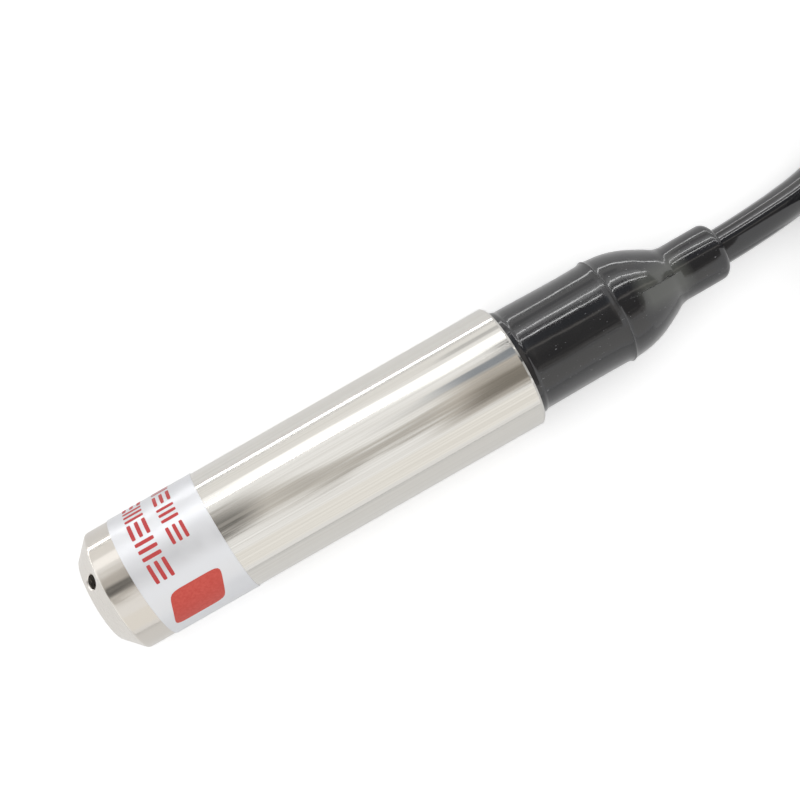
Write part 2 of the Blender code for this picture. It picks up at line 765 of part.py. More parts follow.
def make_terminal_block(block_finish, screw_finish):
    centre = on_board(TERMINAL_SHARE, 0.0, TERMINAL_HEIGHT)
    size = (TERMINAL_LENGTH, TERMINAL_WIDTH, TERMINAL_HEIGHT)
    block = box("terminal_block", size, centre, block_finish, 0.3 * MM)
    top = centre.z + TERMINAL_HEIGHT / 2
    rear = centre.x + TERMINAL_LENGTH / 2
    along, up = Vector((1.0, 0.0, 0.0)), Vector((0.0, 0.0, 1.0))
    for i, side in enumerate((1, -1)):
        y = side * TERMINAL_PITCH / 2
        entry = Vector((rear, y, centre.z - TERMINAL_HEIGHT / 2 + ENTRY_RISE))
        shape(block, tool_rod(f"entry_{i + 1}", CORE_R + FIT, 2 * ENTRY_DEPTH, entry, along, 12))
        mouth = Vector((centre.x, y, top))
        shape(block, tool_rod(f"screw_hole_{i + 1}", SCREW_HOLE_R, 2 * SCREW_DEPTH, mouth, up, 12))
        screw_length = SCREW_DEPTH - 2 * FIT
        place = Vector((centre.x, y, top - FIT - screw_length / 2))
        name = f"terminal_screw_{i + 1}"
        screw = rod(name, SCREW_HOLE_R - FIT, screw_length, place, up, screw_finish, 12)
        slot = (3 * SCREW_HOLE_R, 0.5 * MM, 1.4 * MM)
        shape(screw, tool_box(name + "_slot", slot, place + up * screw_length / 2))
    return block


def make_insulating_sleeve(finish):
    start = FRONT_HOLDER_START + HOLDER_LENGTH + FIT
    end = REAR_HOLDER_END - HOLDER_LENGTH - FIT
    return ring("insulating_sleeve", SPIGOT_R, SPIGOT_R - SLEEVE_WALL, start, end, finish)


# Gland, boot and the cable in them


def make_gland_body(finish):
    groove_start = GLAND_START + GLAND_GROOVE_START
    groove_end = groove_start + SEAL_GROOVE_WIDTH
    groove_r = SPIGOT_R - SEAL_GROOVE_DEPTH
    seat = BOSS_END - GROMMET_SEAT_DEPTH
    outline = [
        (BOSS_R, BOSS_END),
        (BOSS_R, GLAND_FLANGE_END),
        (SPIGOT_R, GLAND_FLANGE_END),
        (SPIGOT_R, groove_end),
        (groove_r, groove_end),
        (groove_r, groove_start),
        (SPIGOT_R, groove_start),
        (SPIGOT_R, GLAND_START),
        (CABLE_BORE_R, GLAND_START),
        (CABLE_BORE_R, seat),
        (GROMMET_SEAT_R, seat),
        (GROMMET_SEAT_R, BOSS_END),
    ]
    return on_probe_axis(turned("gland_body", outline, finish, INNER_SIDES))


def make_grommet(finish):
    outer_r = GROMMET_SEAT_R - FIT
    end = GROMMET_START + GROMMET_LENGTH
    outline = [
        (outer_r, end),
        (outer_r, GROMMET_START + GROMMET_TAPER),
        (outer_r - GROMMET_TAPER, GROMMET_START),
        (CABLE_BORE_R, GROMMET_START),
        (CABLE_BORE_R, end),
    ]
    return on_probe_axis(turned("cable_grommet", outline, finish, INNER_SIDES))


def make_gland_nut(finish):
    """A hexagonal head joined to a round spigot that presses the grommet."""
    spigot_r = GROMMET_SEAT_R - FIT
    overlap = 0.5 * MM
    spigot_end = NUT_HEAD_START + overlap
    outline = [(0.0, spigot_end), (spigot_r, spigot_end), (spigot_r, NUT_START), (0.0, NUT_START)]
    nut = on_probe_axis(turned("gland_nut", outline, finish, INNER_SIDES, closed=False))
    corner_r = (BOSS_R - NUT_MARGIN) / math.cos(math.pi / 6)
    middle = at(NUT_HEAD_START + NUT_HEAD_LENGTH / 2)
    along = Vector((1.0, 0.0, 0.0))
    head = tool_rod("nut_head", corner_r, NUT_HEAD_LENGTH, middle, along, 6)
    bore = tool_rod("nut_bore", CABLE_BORE_R, 3 * NUT_HEAD_LENGTH, middle, along, INNER_SIDES)
    shape(nut, head, "UNION")
    return shape(nut, bore)


def boot_outer_curve():
    """Outer (radius, station) points of the boot from its front to the neck's rounded end."""
    rim = TUBE_END
    lip_r = TUBE_BORE_R - FIT
    seam = rim + SEAM_STATION
    body_span = SEAM_STATION - SEAM_WIDTH - BOOT_LIP_LENGTH
    points = [(lip_r, BOOT_START), (lip_r, rim + BOOT_LIP_LENGTH - 0.3 * MM)]
    for share, deepen in ((0.07, 0.0), (0.4, 0.3), (0.7, 0.95), (0.85, 1.0), (0.98, 0.5)):
        radius = BOOT_BODY_R - deepen * BOOT_WAIST
        points.append((radius, rim + BOOT_LIP_LENGTH + share * body_span))
    crest_r = BOOT_BODY_R + SEAM_HEIGHT
    points += [
        (BOOT_BODY_R - 0.05 * MM, seam - SEAM_WIDTH / 2),
        (crest_r, seam - SEAM_WIDTH / 4),
        (crest_r, seam + SEAM_WIDTH / 4),
        (BOOT_BODY_R, seam + SEAM_WIDTH / 2),
    ]
    drop = BOOT_BODY_R - NECK_R
    for share, fall in SHOULDER_CURVE:
        points.append((BOOT_BODY_R - fall * drop, SHOULDER_START + share * SHOULDER_LENGTH))
    points.append((NECK_R, NECK_START))
    for i in range(5):
        turn = math.radians(90.0 - 90.0 * i / 4)
        radius = NECK_R - NECK_ROUND * (1 - math.sin(turn))
        points.append((radius, NECK_END - NECK_ROUND + NECK_ROUND * math.cos(turn)))
    return points


def make_cable_boot(finish):
    """A moulded hollow boot: body, seam ridge, domed shoulder and neck, in one rubber piece."""
    outer = boot_outer_curve()
    body_inner_r = BOSS_R + FIT
    drop = BOOT_BODY_R - NECK_R
    inner = [(body_inner_r, BOOT_START), (body_inner_r, SHOULDER_START)]
    for share, fall in SHOULDER_CURVE:
        radius = BOOT_BODY_R - fall * drop - BOOT_WALL
        if CABLE_BORE_R < radius < body_inner_r:
            inner.append((radius, SHOULDER_START + share * SHOULDER_LENGTH - BOOT_WALL / 2))
    inner += [(CABLE_BORE_R, NECK_START - BOOT_WALL), (CABLE_BORE_R, NECK_END)]
    boot = turned("cable_boot", outer[::-1] + inner, finish, BOOT_SIDES)
    return on_probe_axis(boot)


def make_inner_cable(finishes):
    solid = [(0.0, NECK_END), (CABLE_R, NECK_END), (CABLE_R, CABLE_START), (0.0, CABLE_START)]
    on_probe_axis(turned("cable_inner", solid, finishes["cable_black"], INNER_SIDES, closed=False))
    ferrule_end = FERRULE_START + FERRULE_LENGTH
    ring("cable_ferrule", FERRULE_R, CABLE_BORE_R, FERRULE_START, ferrule_end, finishes["brass"])
    core_start = CABLE_START - FIT
    entry_end = TERMINAL_LENGTH / 2 - ENTRY_DEPTH + 2 * FIT
    block = on_board(TERMINAL_SHARE, 0.0, TERMINAL_HEIGHT)
    entry_x = block.x + entry_end
    mouth_x = block.x + TERMINAL_LENGTH / 2
    entry_z = block.z - TERMINAL_HEIGHT / 2 + ENTRY_RISE
    for name, side in (("inner_core_red", 1), ("inner_core_black", -1)):
        first = at(core_start, side * 1.5 * MM, 2.2 * MM)
        y = side * TERMINAL_PITCH / 2
        last = Vector((entry_x, y, entry_z))
        mouth = Vector((mouth_x + 0.6 * MM, y, entry_z))
        bend = first.lerp(mouth, 0.5)
        wire(name, (first, bend, mouth, last), CORE_R, finishes[name[6:]], 3)
    outer_r, bore_r, length = CAPILLARY_R, CAPILLARY_BORE_R, 8.0 * MM
    outline = [(outer_r, length), (outer_r, 0.0), (bore_r, 0.0), (bore_r, length)]
    capillary = turned("vent_capillary", outline, finishes["vent_clear"], SMALL_SIDES)
    capillary.rotation_euler = (0.0, math.pi / 2, 0.0)
    capillary.location = at(core_start - length, 0.0, -2.0 * MM)


# Cable outside the probe


def make_lead(finish):
    points = []
    for along, across, share in LEAD_ROUTE:
        points.append((NECK_X + along, across, AXIS_Z - share * (AXIS_Z - HANK_FIRST_Z)))
    wire("cable_lead", points, CABLE_R, finish, 2, 3)


def hank_outline(bend_r):
    """A racetrack: two half circles joined by the runs."""
    far_x = HANK_NEAR_X + HANK_RUN
    steps = 20
    points = []
    for centre_x, first_deg in ((far_x, -90.0), (HANK_NEAR_X, 90.0)):
        for i in range(steps + 1):
            turn = math.radians(first_deg + 180.0 * i / steps)
            points.append((centre_x + bend_r * math.cos(turn), HANK_Y + bend_r * math.sin(turn)))
    return points


def make_hank(finish):
    height = HANK_LAYERS * 2 * CABLE_R
    outer = hank_outline(HANK_OUTER_BEND_R + CABLE_R - HANK_EDGE_R)
    inner = hank_outline(HANK_INNER_BEND_R - CABLE_R + HANK_EDGE_R)
    flat = plate("cable_hank", (outer, inner), height, finish, HANK_EDGE_R)
    flat.location = (0.0, 0.0, HANK_BASE_Z + height / 2)
    bpy.context.view_layer.update()
    hank = as_mesh(flat)
    layer = 2 * CABLE_R
    notch = (END_NOTCH_LENGTH, layer + FIT + END_NOTCH_SIDE, 2 * layer)
    centre = (
        HANK_NEAR_X + END_NOTCH_REACH - END_NOTCH_LENGTH / 2,
        HANK_Y - HANK_INNER_BEND_R - CABLE_R - FIT + notch[1] / 2,
        HANK_BASE_Z,
    )
    return shape(hank, tool_box("end_notch", notch, centre))


def make_ties(finish):
    """A strap round each run of the hank."""
    width = HANK_OUTER_BEND_R - HANK_INNER_BEND_R + 2 * CABLE_R + 2 * FIT
    height = HANK_LAYERS * 2 * CABLE_R + 2 * FIT
    middle_r = (HANK_OUTER_BEND_R + HANK_INNER_BEND_R) / 2
    for i, side in enumerate((1, -1)):
        outlines = (
            rounded_rectangle(
                width + 2 * TIE_THICKNESS, height + 2 * TIE_THICKNESS, TIE_CORNER_R
            ),
            rounded_rectangle(width, height, TIE_CORNER_R - TIE_THICKNESS),
        )
        strap = plate(f"hank_tie_{i + 1}", outlines, TIE_WIDTH, finish)
        strap.rotation_euler = (math.pi / 2, 0.0, math.pi / 2)
        z = HANK_BASE_Z - FIT + height / 2
        x = HANK_NEAR_X + TIE_SHARE * HANK_RUN
        strap.location = (x, HANK_Y + side * middle_r, z)


def make_cable_end(finishes):
    """The stripped end: two cores and the vent tube, lying under the hank's inner turns."""
    run_y = HANK_Y - HANK_INNER_BEND_R
    face_x = HANK_NEAR_X + END_NOTCH_REACH - FIT
    ends = (
        ("end_core_red", 1.9 * MM, 0.6 * MM, CORE_R, "core_red", END_RED_LENGTH),
        ("end_core_black", -1.5 * MM, 0.6 * MM, CORE_R, "core_black", END_BLACK_LENGTH),
        ("end_vent_tube", 0.2 * MM, -1.7 * MM, END_VENT_R, "vent_clear", END_VENT_LENGTH),
    )
    for name, across, up, radius, finish, length in ends:
        lying = FIT + radius
        start_z = HANK_FIRST_Z + up
        points = (
            (face_x, run_y + across, start_z),
            (face_x - 0.2 * length, run_y + across, start_z - 0.15 * (start_z - lying)),
            (face_x - 0.5 * length, run_y + 1.6 * across, lying + 0.2 * (start_z - lying)),
            (face_x - 0.75 * length, run_y + 1.9 * across, lying),
            (face_x - length, run_y + 2.1 * across, lying),
        )
        wire(name, points, radius, finishes[finish], 2)


def make_everything():
    clear_scene()
    collection(PARTS)
    collection(CUTTERS)
    finishes = make_materials()
    steel, satin = finishes["stainless_steel"], finishes["satin_steel"]
    rubber = finishes["black_rubber"]
    plastic, board_part = finishes["holder_white"], finishes["component_black"]
    blue = finishes["component_blue"]
    make_nose_cap(satin)
    make_probe_tube(steel)
    make_seals(rubber)
    make_label(finishes["label_foil"])
    make_sensor_cell(satin)
    make_diaphragm(steel)
    make_retaining_ring(satin)
    make_cell_header(satin)
    make_cell_vent(satin)
    make_signal_wires((finishes["core_red"], finishes["core_black"]))
    make_board_holders(plastic)
    make_board(finishes["board_green"])
    make_amplifier(board_part)
    make_trimmer("zero_trimmer", 0.5, -4.0 * UNIT, blue)
    make_trimmer("span_trimmer", 0.5, 4.0 * UNIT, blue)
    make_transistor(board_part)
    make_capacitor("capacitor_1", 0.66, 4.0 * UNIT, satin)
    make_capacitor("capacitor_2", 0.66, -4.0 * UNIT, satin)
    make_surge_arrester(plastic)
    make_terminal_block(blue, satin)
    make_insulating_sleeve(plastic)
    make_gland_body(finishes["brass"])
    make_grommet(rubber)
    end = WASHER_START + WASHER_THICKNESS
    ring("thrust_washer", GROMMET_SEAT_R - FIT, CABLE_BORE_R, WASHER_START, end, satin)
    make_gland_nut(finishes["brass"])
    make_cable_boot(rubber)
    make_inner_cable(finishes)
    make_lead(finishes["cable_black"])
    make_hank(finishes["cable_black"])
    make_ties(finishes["strap_fabric"])
    make_cable_end(finishes)


make_everything()
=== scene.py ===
"""Looks of a submersible level transmitter: steel probe, foil label, moulded boot and vented cable.

Run it in Blender as a script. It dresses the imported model, and its sizes come from that model.
"""

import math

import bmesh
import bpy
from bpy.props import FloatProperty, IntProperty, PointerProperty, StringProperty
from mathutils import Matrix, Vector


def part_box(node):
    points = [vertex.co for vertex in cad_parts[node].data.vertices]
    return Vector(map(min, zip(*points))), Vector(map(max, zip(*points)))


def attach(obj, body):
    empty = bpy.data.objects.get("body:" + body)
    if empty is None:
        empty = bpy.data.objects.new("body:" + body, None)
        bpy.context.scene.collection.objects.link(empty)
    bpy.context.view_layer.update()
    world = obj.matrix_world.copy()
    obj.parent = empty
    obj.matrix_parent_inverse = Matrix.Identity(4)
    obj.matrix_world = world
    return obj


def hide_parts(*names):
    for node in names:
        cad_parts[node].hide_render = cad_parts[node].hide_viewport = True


bl_info = {
    "name": "Level transmitter dressing",
    "version": (1, 0, 0),
    "blender": (4, 5, 0),
    "location": "3D View > Sidebar > Level probe",
    "description": "Dresses a submersible level transmitter with its finishes, label, boot and cable",
    "category": "Object",
}

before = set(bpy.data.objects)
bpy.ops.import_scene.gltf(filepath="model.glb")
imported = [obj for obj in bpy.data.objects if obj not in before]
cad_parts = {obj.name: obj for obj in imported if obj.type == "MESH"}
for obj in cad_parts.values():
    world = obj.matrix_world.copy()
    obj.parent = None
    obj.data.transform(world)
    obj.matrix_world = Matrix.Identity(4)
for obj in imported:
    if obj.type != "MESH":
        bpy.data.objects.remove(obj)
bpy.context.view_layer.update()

MM = 0.001
BODY = "root"


def node_box(name):
    low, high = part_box(name)
    return Vector(low), Vector(high)


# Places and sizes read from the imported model
CAP_LOW, CAP_HIGH = node_box("nose_cap")
TUBE_LOW, TUBE_HIGH = node_box("probe_tube")
BOOT_LOW, BOOT_HIGH = node_box("cable_boot")
LABEL_LOW, LABEL_HIGH = node_box("label_band")
HANK_LOW, HANK_HIGH = node_box("cable_hank")
INNER_LOW, INNER_HIGH = node_box("cable_inner")
NOSE_X = CAP_LOW.x
TUBE_END_X = TUBE_HIGH.x
NECK_END_X = BOOT_HIGH.x
TUBE_R = (TUBE_HIGH.y - TUBE_LOW.y) / 2
LABEL_R = (LABEL_HIGH.y - LABEL_LOW.y) / 2
CABLE_R = (INNER_HIGH.y - INNER_LOW.y) / 2
AXIS_Z = (TUBE_HIGH.z + TUBE_LOW.z) / 2


def at(station, turn=0.0, radius=0.0):
    """Point at a station from the nose tip and a radius, turned from the top towards +Y."""
    across, up = radius * math.sin(turn), radius * math.cos(turn)
    return Vector((NOSE_X + station, across, AXIS_Z + up))


# Sizes and colours that a user may change


class ProbeSettings(bpy.types.PropertyGroup):
    sides: IntProperty(
        name="Sides", description="Facets round a turned piece", default=192, min=48, max=384
    )
    face_radius: FloatProperty(
        name="Nose face radius",
        description="Radius of the flat end of the nose",
        default=9.2 * MM,
        unit="LENGTH",
    )
    cone_length: FloatProperty(
        name="Cone length",
        description="Length of the nose's cone",
        default=4.1 * MM,
        unit="LENGTH",
    )
    inlet_radius: FloatProperty(
        name="Inlet radius",
        description="Radius of the pressure inlets in the cone",
        default=1.55 * MM,
        unit="LENGTH",
    )
    first_inlet: FloatProperty(
        name="First inlet",
        description="Turn of the first inlet from the top",
        default=math.radians(21.0),
        subtype="ANGLE",
    )
    rim_chamfer: FloatProperty(
        name="Rim chamfer",
        description="Chamfer on the tube's rear rim",
        default=0.5 * MM,
        unit="LENGTH",
    )
    steel: StringProperty(
        name="Steel", description="Colour of the polished stainless steel", default="#E1DFDA"
    )
    satin: StringProperty(
        name="Turned steel", description="Colour of the turned stainless steel", default="#E6E2DC"
    )


class LabelSettings(bpy.types.PropertyGroup):
    start: FloatProperty(
        name="Start",
        description="Label edge nearest the nose, from the nose tip",
        default=9.9 * MM,
        unit="LENGTH",
    )
    width: FloatProperty(
        name="Width", description="Label width along the probe", default=19.5 * MM, unit="LENGTH"
    )
    skew: FloatProperty(
        name="Skew",
        description="How far from square the label was stuck",
        default=math.radians(1.5),
        subtype="ANGLE",
    )
    foil: StringProperty(name="Foil", description="Colour of the silver foil", default="#E0E1E4")
    ink: StringProperty(name="Ink", description="Colour of the rows of marks", default="#BE2A2B")
    field_ink: StringProperty(
        name="Field ink", description="Colour of the large field", default="#C94134"
    )


class BootSettings(bpy.types.PropertyGroup):
    body_radius: FloatProperty(
        name="Body radius",
        description="Radius of the boot's body",
        default=11.38 * MM,
        unit="LENGTH",
    )
    waist_radius: FloatProperty(
        name="Waist radius",
        description="Radius where the body draws in",
        default=11.2 * MM,
        unit="LENGTH",
    )
    neck_radius: FloatProperty(
        name="Neck radius",
        description="Radius of the boot's neck",
        default=6.2 * MM,
        unit="LENGTH",
    )
    rubber: StringProperty(name="Rubber", description="Colour of the boot", default="#222224")


class CableSettings(bpy.types.PropertyGroup):
    length: FloatProperty(
        name="Length", description="Length of the cable", default=3.0, unit="LENGTH"
    )
    layers: IntProperty(name="Layers", description="Layers of turns in the hank", default=5)
    outer_bend: FloatProperty(
        name="Outer bend",
        description="Bend radius of the hank's outer turns",
        default=31.2 * MM,
        unit="LENGTH",
    )
    inner_bend: FloatProperty(
        name="Inner bend",
        description="Bend radius of the hank's inner turns",
        default=23.4 * MM,
        unit="LENGTH",
    )
    jacket: StringProperty(name="Jacket", description="Colour of the cable", default="#212123")


# Node helpers

NOISE_SPAN = (0.3, 0.7)  # most of what noise gives lies between these


def rgb(hex_colour):
    """An sRGB hex value as linear red, green, blue and alpha."""
    linear = []
    for i in (1, 3, 5):
        value = int(hex_colour[i : i + 2], 16) / 255
        linear.append(value / 12.92 if value <= 0.04045 else ((value + 0.055) / 1.055) ** 2.4)
    return (*linear, 1.0)


def feed(tree, socket, value):
    """Give an input a value or a hex colour, or link it to a socket or to a node's output."""
    if isinstance(value, bpy.types.Node):
        value = next(output for output in value.outputs if output.enabled)
    if isinstance(value, bpy.types.NodeSocket):
        tree.links.new(value, socket)
    else:
        socket.default_value = rgb(value) if isinstance(value, str) else value


def node(tree, kind, *values, inputs=None, **settings):
    """Add a node with its settings, and feed its inputs in order or by the keys given."""
    made = tree.nodes.new("ShaderNode" + kind)
    for name, value in settings.items():
        setattr(made, name, value)
    for key, value in (*enumerate(values), *(inputs or {}).items()):
        feed(tree, made.inputs[key], value)
    return made


def new_material(name, colour, roughness, metallic=0.0, **sockets):
    """A Principled material with its constants on the shader's own sockets."""
    made = bpy.data.materials.new(name)
    made.use_nodes = True
    tree = made.node_tree
    shader = tree.nodes["Principled BSDF"]
    shader.inputs["Base Color"].default_value = rgb(colour)
    shader.inputs["Roughness"].default_value = roughness
    shader.inputs["Metallic"].default_value = metallic
    for key, value in sockets.items():
        shader.inputs[key.replace("_", " ")].default_value = value
    return made, tree, shader


def object_axes(tree):
    """X, Y and Z of a place on the piece, in metres."""
    place = node(tree, "TexCoord").outputs["Object"]
    return node(tree, "SeparateXYZ", place).outputs


def grain(tree, size, detail=3.0, roughness=0.55, seed=0.0, place=None):
    """Noise whose grain is (x, y, z) metres long."""
    if place is None:
        place = node(tree, "TexCoord").outputs["Object"]
    inputs = {"Vector": place, "Scale": [1 / s for s in size], "Location": (seed, seed, seed)}
    spread = node(tree, "Mapping", inputs=inputs)
    inputs = {"Vector": spread, "Scale": 1.0, "Detail": detail, "Roughness": roughness}
    return node(tree, "TexNoise", inputs=inputs)


def tinted(tree, colour, *layers):
    """A colour with others laid over it, each where its own mask is 1."""
    for mask, other in layers:
        colour = node(tree, "Mix", inputs={0: mask, 6: colour, 7: other}, data_type="RGBA")
    return colour


def relief(tree, shader, *layers):
    """Bumps one over the other, each with its height pattern, its depth in metres and its strength."""
    skin = None
    for height, depth, strength in layers:
        inputs = {"Height": height, "Distance": depth, "Strength": strength}
        if skin:
            inputs["Normal"] = skin
        skin = node(tree, "Bump", inputs=inputs)
    feed(tree, shader.inputs["Normal"], skin)
    return skin


def vary_roughness(tree, shader, pattern, low, high):
    """Roughness that runs between two values with a pattern of noise."""
    feed(tree, shader.inputs["Roughness"], node(tree, "MapRange", pattern, *NOISE_SPAN, low, high))


def vary_colour(tree, shader, pattern, span, colour, other):
    """Base colour that turns into another as a pattern of noise runs over a span."""
    mask = node(tree, "MapRange", pattern, *span, 0.0, 1.0)
    feed(tree, shader.inputs["Base Color"], tinted(tree, colour, (mask, other)))


# Materials


def polished_stainless(colour):
    """Stainless steel 316L, drawn and polished along its length: long faint streaks, sharp bands."""
    made, tree, shader = new_material("stainless_316l_polished", colour, 0.1, 1.0)
    streaks = grain(tree, (70 * MM, 0.28 * MM, 0.28 * MM), 4.0)
    clouds = grain(tree, (28 * MM, 2.5 * MM, 2.5 * MM), seed=3.0)
    vary_roughness(tree, shader, clouds, 0.06, 0.13)
    vary_colour(tree, shader, streaks, NOISE_SPAN, colour, "#D5D2CC")
    relief(tree, shader, (clouds, 0.004 * MM, 0.8), (streaks, 0.0025 * MM, 0.8))
    return made


def turned_stainless(colour, name="stainless_316l_turned", polished_from=1.0):
    """Stainless steel turned on a lathe: fine rings round the axis, satin. Polished from a place on."""
    made, tree, shader = new_material(name, colour, 0.27, 1.0)
    rings = grain(tree, (0.12 * MM, 9 * MM, 9 * MM), 2.0)
    along = object_axes(tree)[0]
    edge = (polished_from - 0.1 * MM, polished_from + 0.3 * MM)
    satin = node(tree, "MapRange", along, *edge, 1.0, 0.0)
    base = node(tree, "MapRange", satin, 0.0, 1.0, 0.09, 0.24)
    rough = node(tree, "Math", rings, 0.08, base, operation="MULTIPLY_ADD")
    feed(tree, shader.inputs["Roughness"], rough)
    feed(tree, shader.inputs["Base Color"], tinted(tree, "#D6D1CA", (satin, colour)))
    depth = node(tree, "MapRange", satin, 0.0, 1.0, 0.15, 1.0)
    ridges = node(tree, "Math", rings, depth, operation="MULTIPLY")
    relief(tree, shader, (ridges, 0.003 * MM, 0.6))
    return made


def foil_label(colour):
    """Silvered polyester label foil, laminated: soft silver sheen, slight ripples from the glue."""
    made, tree, shader = new_material("polyester_label_foil", colour, 0.34, 0.55)
    ripples = grain(tree, (5 * MM, 5 * MM, 5 * MM))
    vary_roughness(tree, shader, ripples, 0.28, 0.4)
    relief(tree, shader, (ripples, 0.02 * MM, 0.5))
    return made


def screen_ink(name, colour, thin):
    """Screen-printed ink: opaque, half gloss, a little lighter where it lies thin."""
    made, tree, shader = new_material(name, colour, 0.42)
    mottle = grain(tree, (0.6 * MM, 0.6 * MM, 0.6 * MM))
    vary_colour(tree, shader, mottle, (0.35, 0.7), colour, thin)
    return made


# Marks on top of the boot's shoulder: the stretch along the probe where each shows, the lengths in
# which it sets in and ends, its middle across, the half widths within which it is full and beyond
# which it is gone, and how far its line wavers
# A crease on the shoulder: a sunk line whose near-black colour is painted shade
CREASE_AND_SHADE = {
    "stretch": (122.3 * MM, 134.8 * MM),
    "fades": (1.0 * MM, 2.0 * MM),
    "middle": -0.15 * MM,
    "full": 0.055 * MM,
    "gone": 0.11 * MM,
    "waver": 0.3 * MM,
}
# Painted sheen: a paler colour on top of the shoulder that stands in for the soft reflection of a less
# glossy patch
PAINTED_SHEEN = {
    "stretch": (123.5 * MM, 138.0 * MM),
    "fades": (3.0 * MM, 3.0 * MM),
    "middle": -0.6 * MM,
    "full": 2.4 * MM,
    "gone": 5.0 * MM,
    "waver": 0.0,
}


def shoulder_mask(tree, stretch, fades, middle, full, gone, waver):
    """1 in a mark on top of the boot's shoulder, 0 elsewhere."""
    axes = object_axes(tree)
    across = node(tree, "Math", axes[1], middle, operation="SUBTRACT")
    if waver:
        wave = grain(tree, (2 * MM, 2 * MM, 2 * MM), seed=2.0)
        shift = node(tree, "MapRange", wave, *NOISE_SPAN, -waver, waver)
        across = node(tree, "Math", across, shift, operation="ADD")
    off = node(tree, "Math", across, operation="ABSOLUTE")
    mask = node(tree, "MapRange", off, full, gone, 1.0, 0.0)
    start, end = (NOSE_X + station for station in stretch)
    begun = node(tree, "MapRange", axes[0], start, start + fades[0], 0.0, 1.0)
    ended = node(tree, "MapRange", axes[0], end - fades[1], end, 1.0, 0.0)
    upper = node(tree, "Math", axes[2], AXIS_Z, operation="GREATER_THAN")
    for share in (begun, ended, upper):
        mask = node(tree, "Math", mask, share, operation="MULTIPLY")
    return mask


def moulded_rubber(colour):
    """Moulded PVC rubber with a glossy skin: black, soft dents, dust specks, one crease darkened with
    painted shade, and a paler patch of painted sheen on the shoulder.
    """
    coat = {"Coat_Weight": 0.5, "Coat_Roughness": 0.03}
    made, tree, shader = new_material("pvc_rubber_moulded", colour, 0.14, **coat)
    dents = grain(tree, (7 * MM, 2.5 * MM, 2.5 * MM), 2.0)
    specks = grain(tree, (0.7 * MM, 0.4 * MM, 0.4 * MM), 1.0, seed=5.0)
    patches = grain(tree, (6 * MM, 6 * MM, 6 * MM), 1.0, seed=9.0)
    speck = node(tree, "MapRange", specks, 0.71, 0.77, 0.0, 1.0)
    dusty = node(tree, "MapRange", patches, 0.45, 0.55, 0.0, 1.0)
    dust = node(tree, "Math", speck, dusty, operation="MULTIPLY")
    crease_and_shade, painted_sheen = shoulder_mask(tree, **CREASE_AND_SHADE), shoulder_mask(tree, **PAINTED_SHEEN)
    # Painted shade darkens the crease, and a painted sheen lightens the patch on the shoulder
    tint = tinted(tree, colour, (dust, "#6E6E70"), (painted_sheen, "#50514D"), (crease_and_shade, "#060606"))
    feed(tree, shader.inputs["Base Color"], tint)
    vary_roughness(tree, shader, dents, 0.1, 0.18)
    sunk = node(tree, "Math", 1.0, crease_and_shade, operation="SUBTRACT")
    layers = ((dents, 0.025 * MM, 0.8), (dust, 0.02 * MM, 0.5), (sunk, 0.2 * MM, 1.0))
    feed(tree, shader.inputs["Coat Normal"], relief(tree, shader, *layers))
    return made


def cable_jacket(colour):
    """Extruded polyurethane jacket: smooth gloss, faint waves from the cores twisted inside."""
    coat = {"Coat_Weight": 0.6, "Coat_Roughness": 0.03}
    made, tree, shader = new_material("pur_jacket_extruded", colour, 0.13, **coat)
    waves = grain(tree, (12 * MM, 3 * MM, 3 * MM))
    vary_roughness(tree, shader, waves, 0.1, 0.16)
    feed(tree, shader.inputs["Coat Normal"], relief(tree, shader, (waves, 0.02 * MM, 0.5)))
    return made


def woven_strap(name, colour, worn):
    """Nylon hook-and-loop strap: matt fuzzy pile over a weave, lighter where the pile stands up."""
    made, tree, shader = new_material(name, colour, 0.85, Sheen_Weight=0.4)
    pile = grain(tree, (0.4 * MM, 0.4 * MM, 0.4 * MM), 4.0)
    vary_colour(tree, shader, pile, (0.35, 0.65), colour, worn)
    relief(tree, shader, (pile, 0.3 * MM, 0.7))
    return made


def plain_finish(name, colour, other, roughness, metallic=0.0, size=1.5 * MM):
    """A moulded, drawn or turned small piece: its colour varies a little over its surface."""
    made, tree, shader = new_material(name, colour, roughness, metallic)
    patches = grain(tree, (size, size, size))
    vary_colour(tree, shader, patches, (0.35, 0.65), colour, other)
    relief(tree, shader, (patches, 0.01 * MM, 0.4))
    return made


# Mesh helpers


def finish_piece(made, material, slot, *nodes):
    """Give a piece its material and body, and hide the CAD nodes it stands for. The slot is not used."""
    made.data.materials.clear()
    made.data.materials.append(material)
    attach(made, BODY)
    if nodes:
        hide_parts(*nodes)
    return made


def new_object(name, data):
    made = bpy.data.objects.new(name, data)
    bpy.context.scene.collection.objects.link(made)
    return made


def paint(name, material):
    """Put a material on a CAD node that stays."""
    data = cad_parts[name].data
    data.materials.clear()
    data.materials.append(material)
    data.shade_smooth()
    data.set_sharp_from_angle(angle=math.radians(35.0))


def mesh_from(name, form):
    mesh = bpy.data.meshes.new(name)
    form.to_mesh(mesh)
    form.free()
    return mesh


def mesh_object(name, form, sharp=math.radians(30.0)):
    bmesh.ops.recalc_face_normals(form, faces=form.faces)
    mesh = mesh_from(name, form)
    mesh.shade_smooth()
    mesh.set_sharp_from_angle(angle=sharp)
    return new_object(name, mesh)


def flat_square(name, size):
    form = bmesh.new()
    bmesh.ops.create_grid(form, x_segments=1, y_segments=1, size=size)
    return new_object(name, mesh_from(name, form))


def join_rings(form, here, there):
    """Faces between two closed rings of vertices."""
    for j in range(len(here)):
        k = (j + 1) % len(here)
        form.faces.new((here[j], here[k], there[k], there[j]))


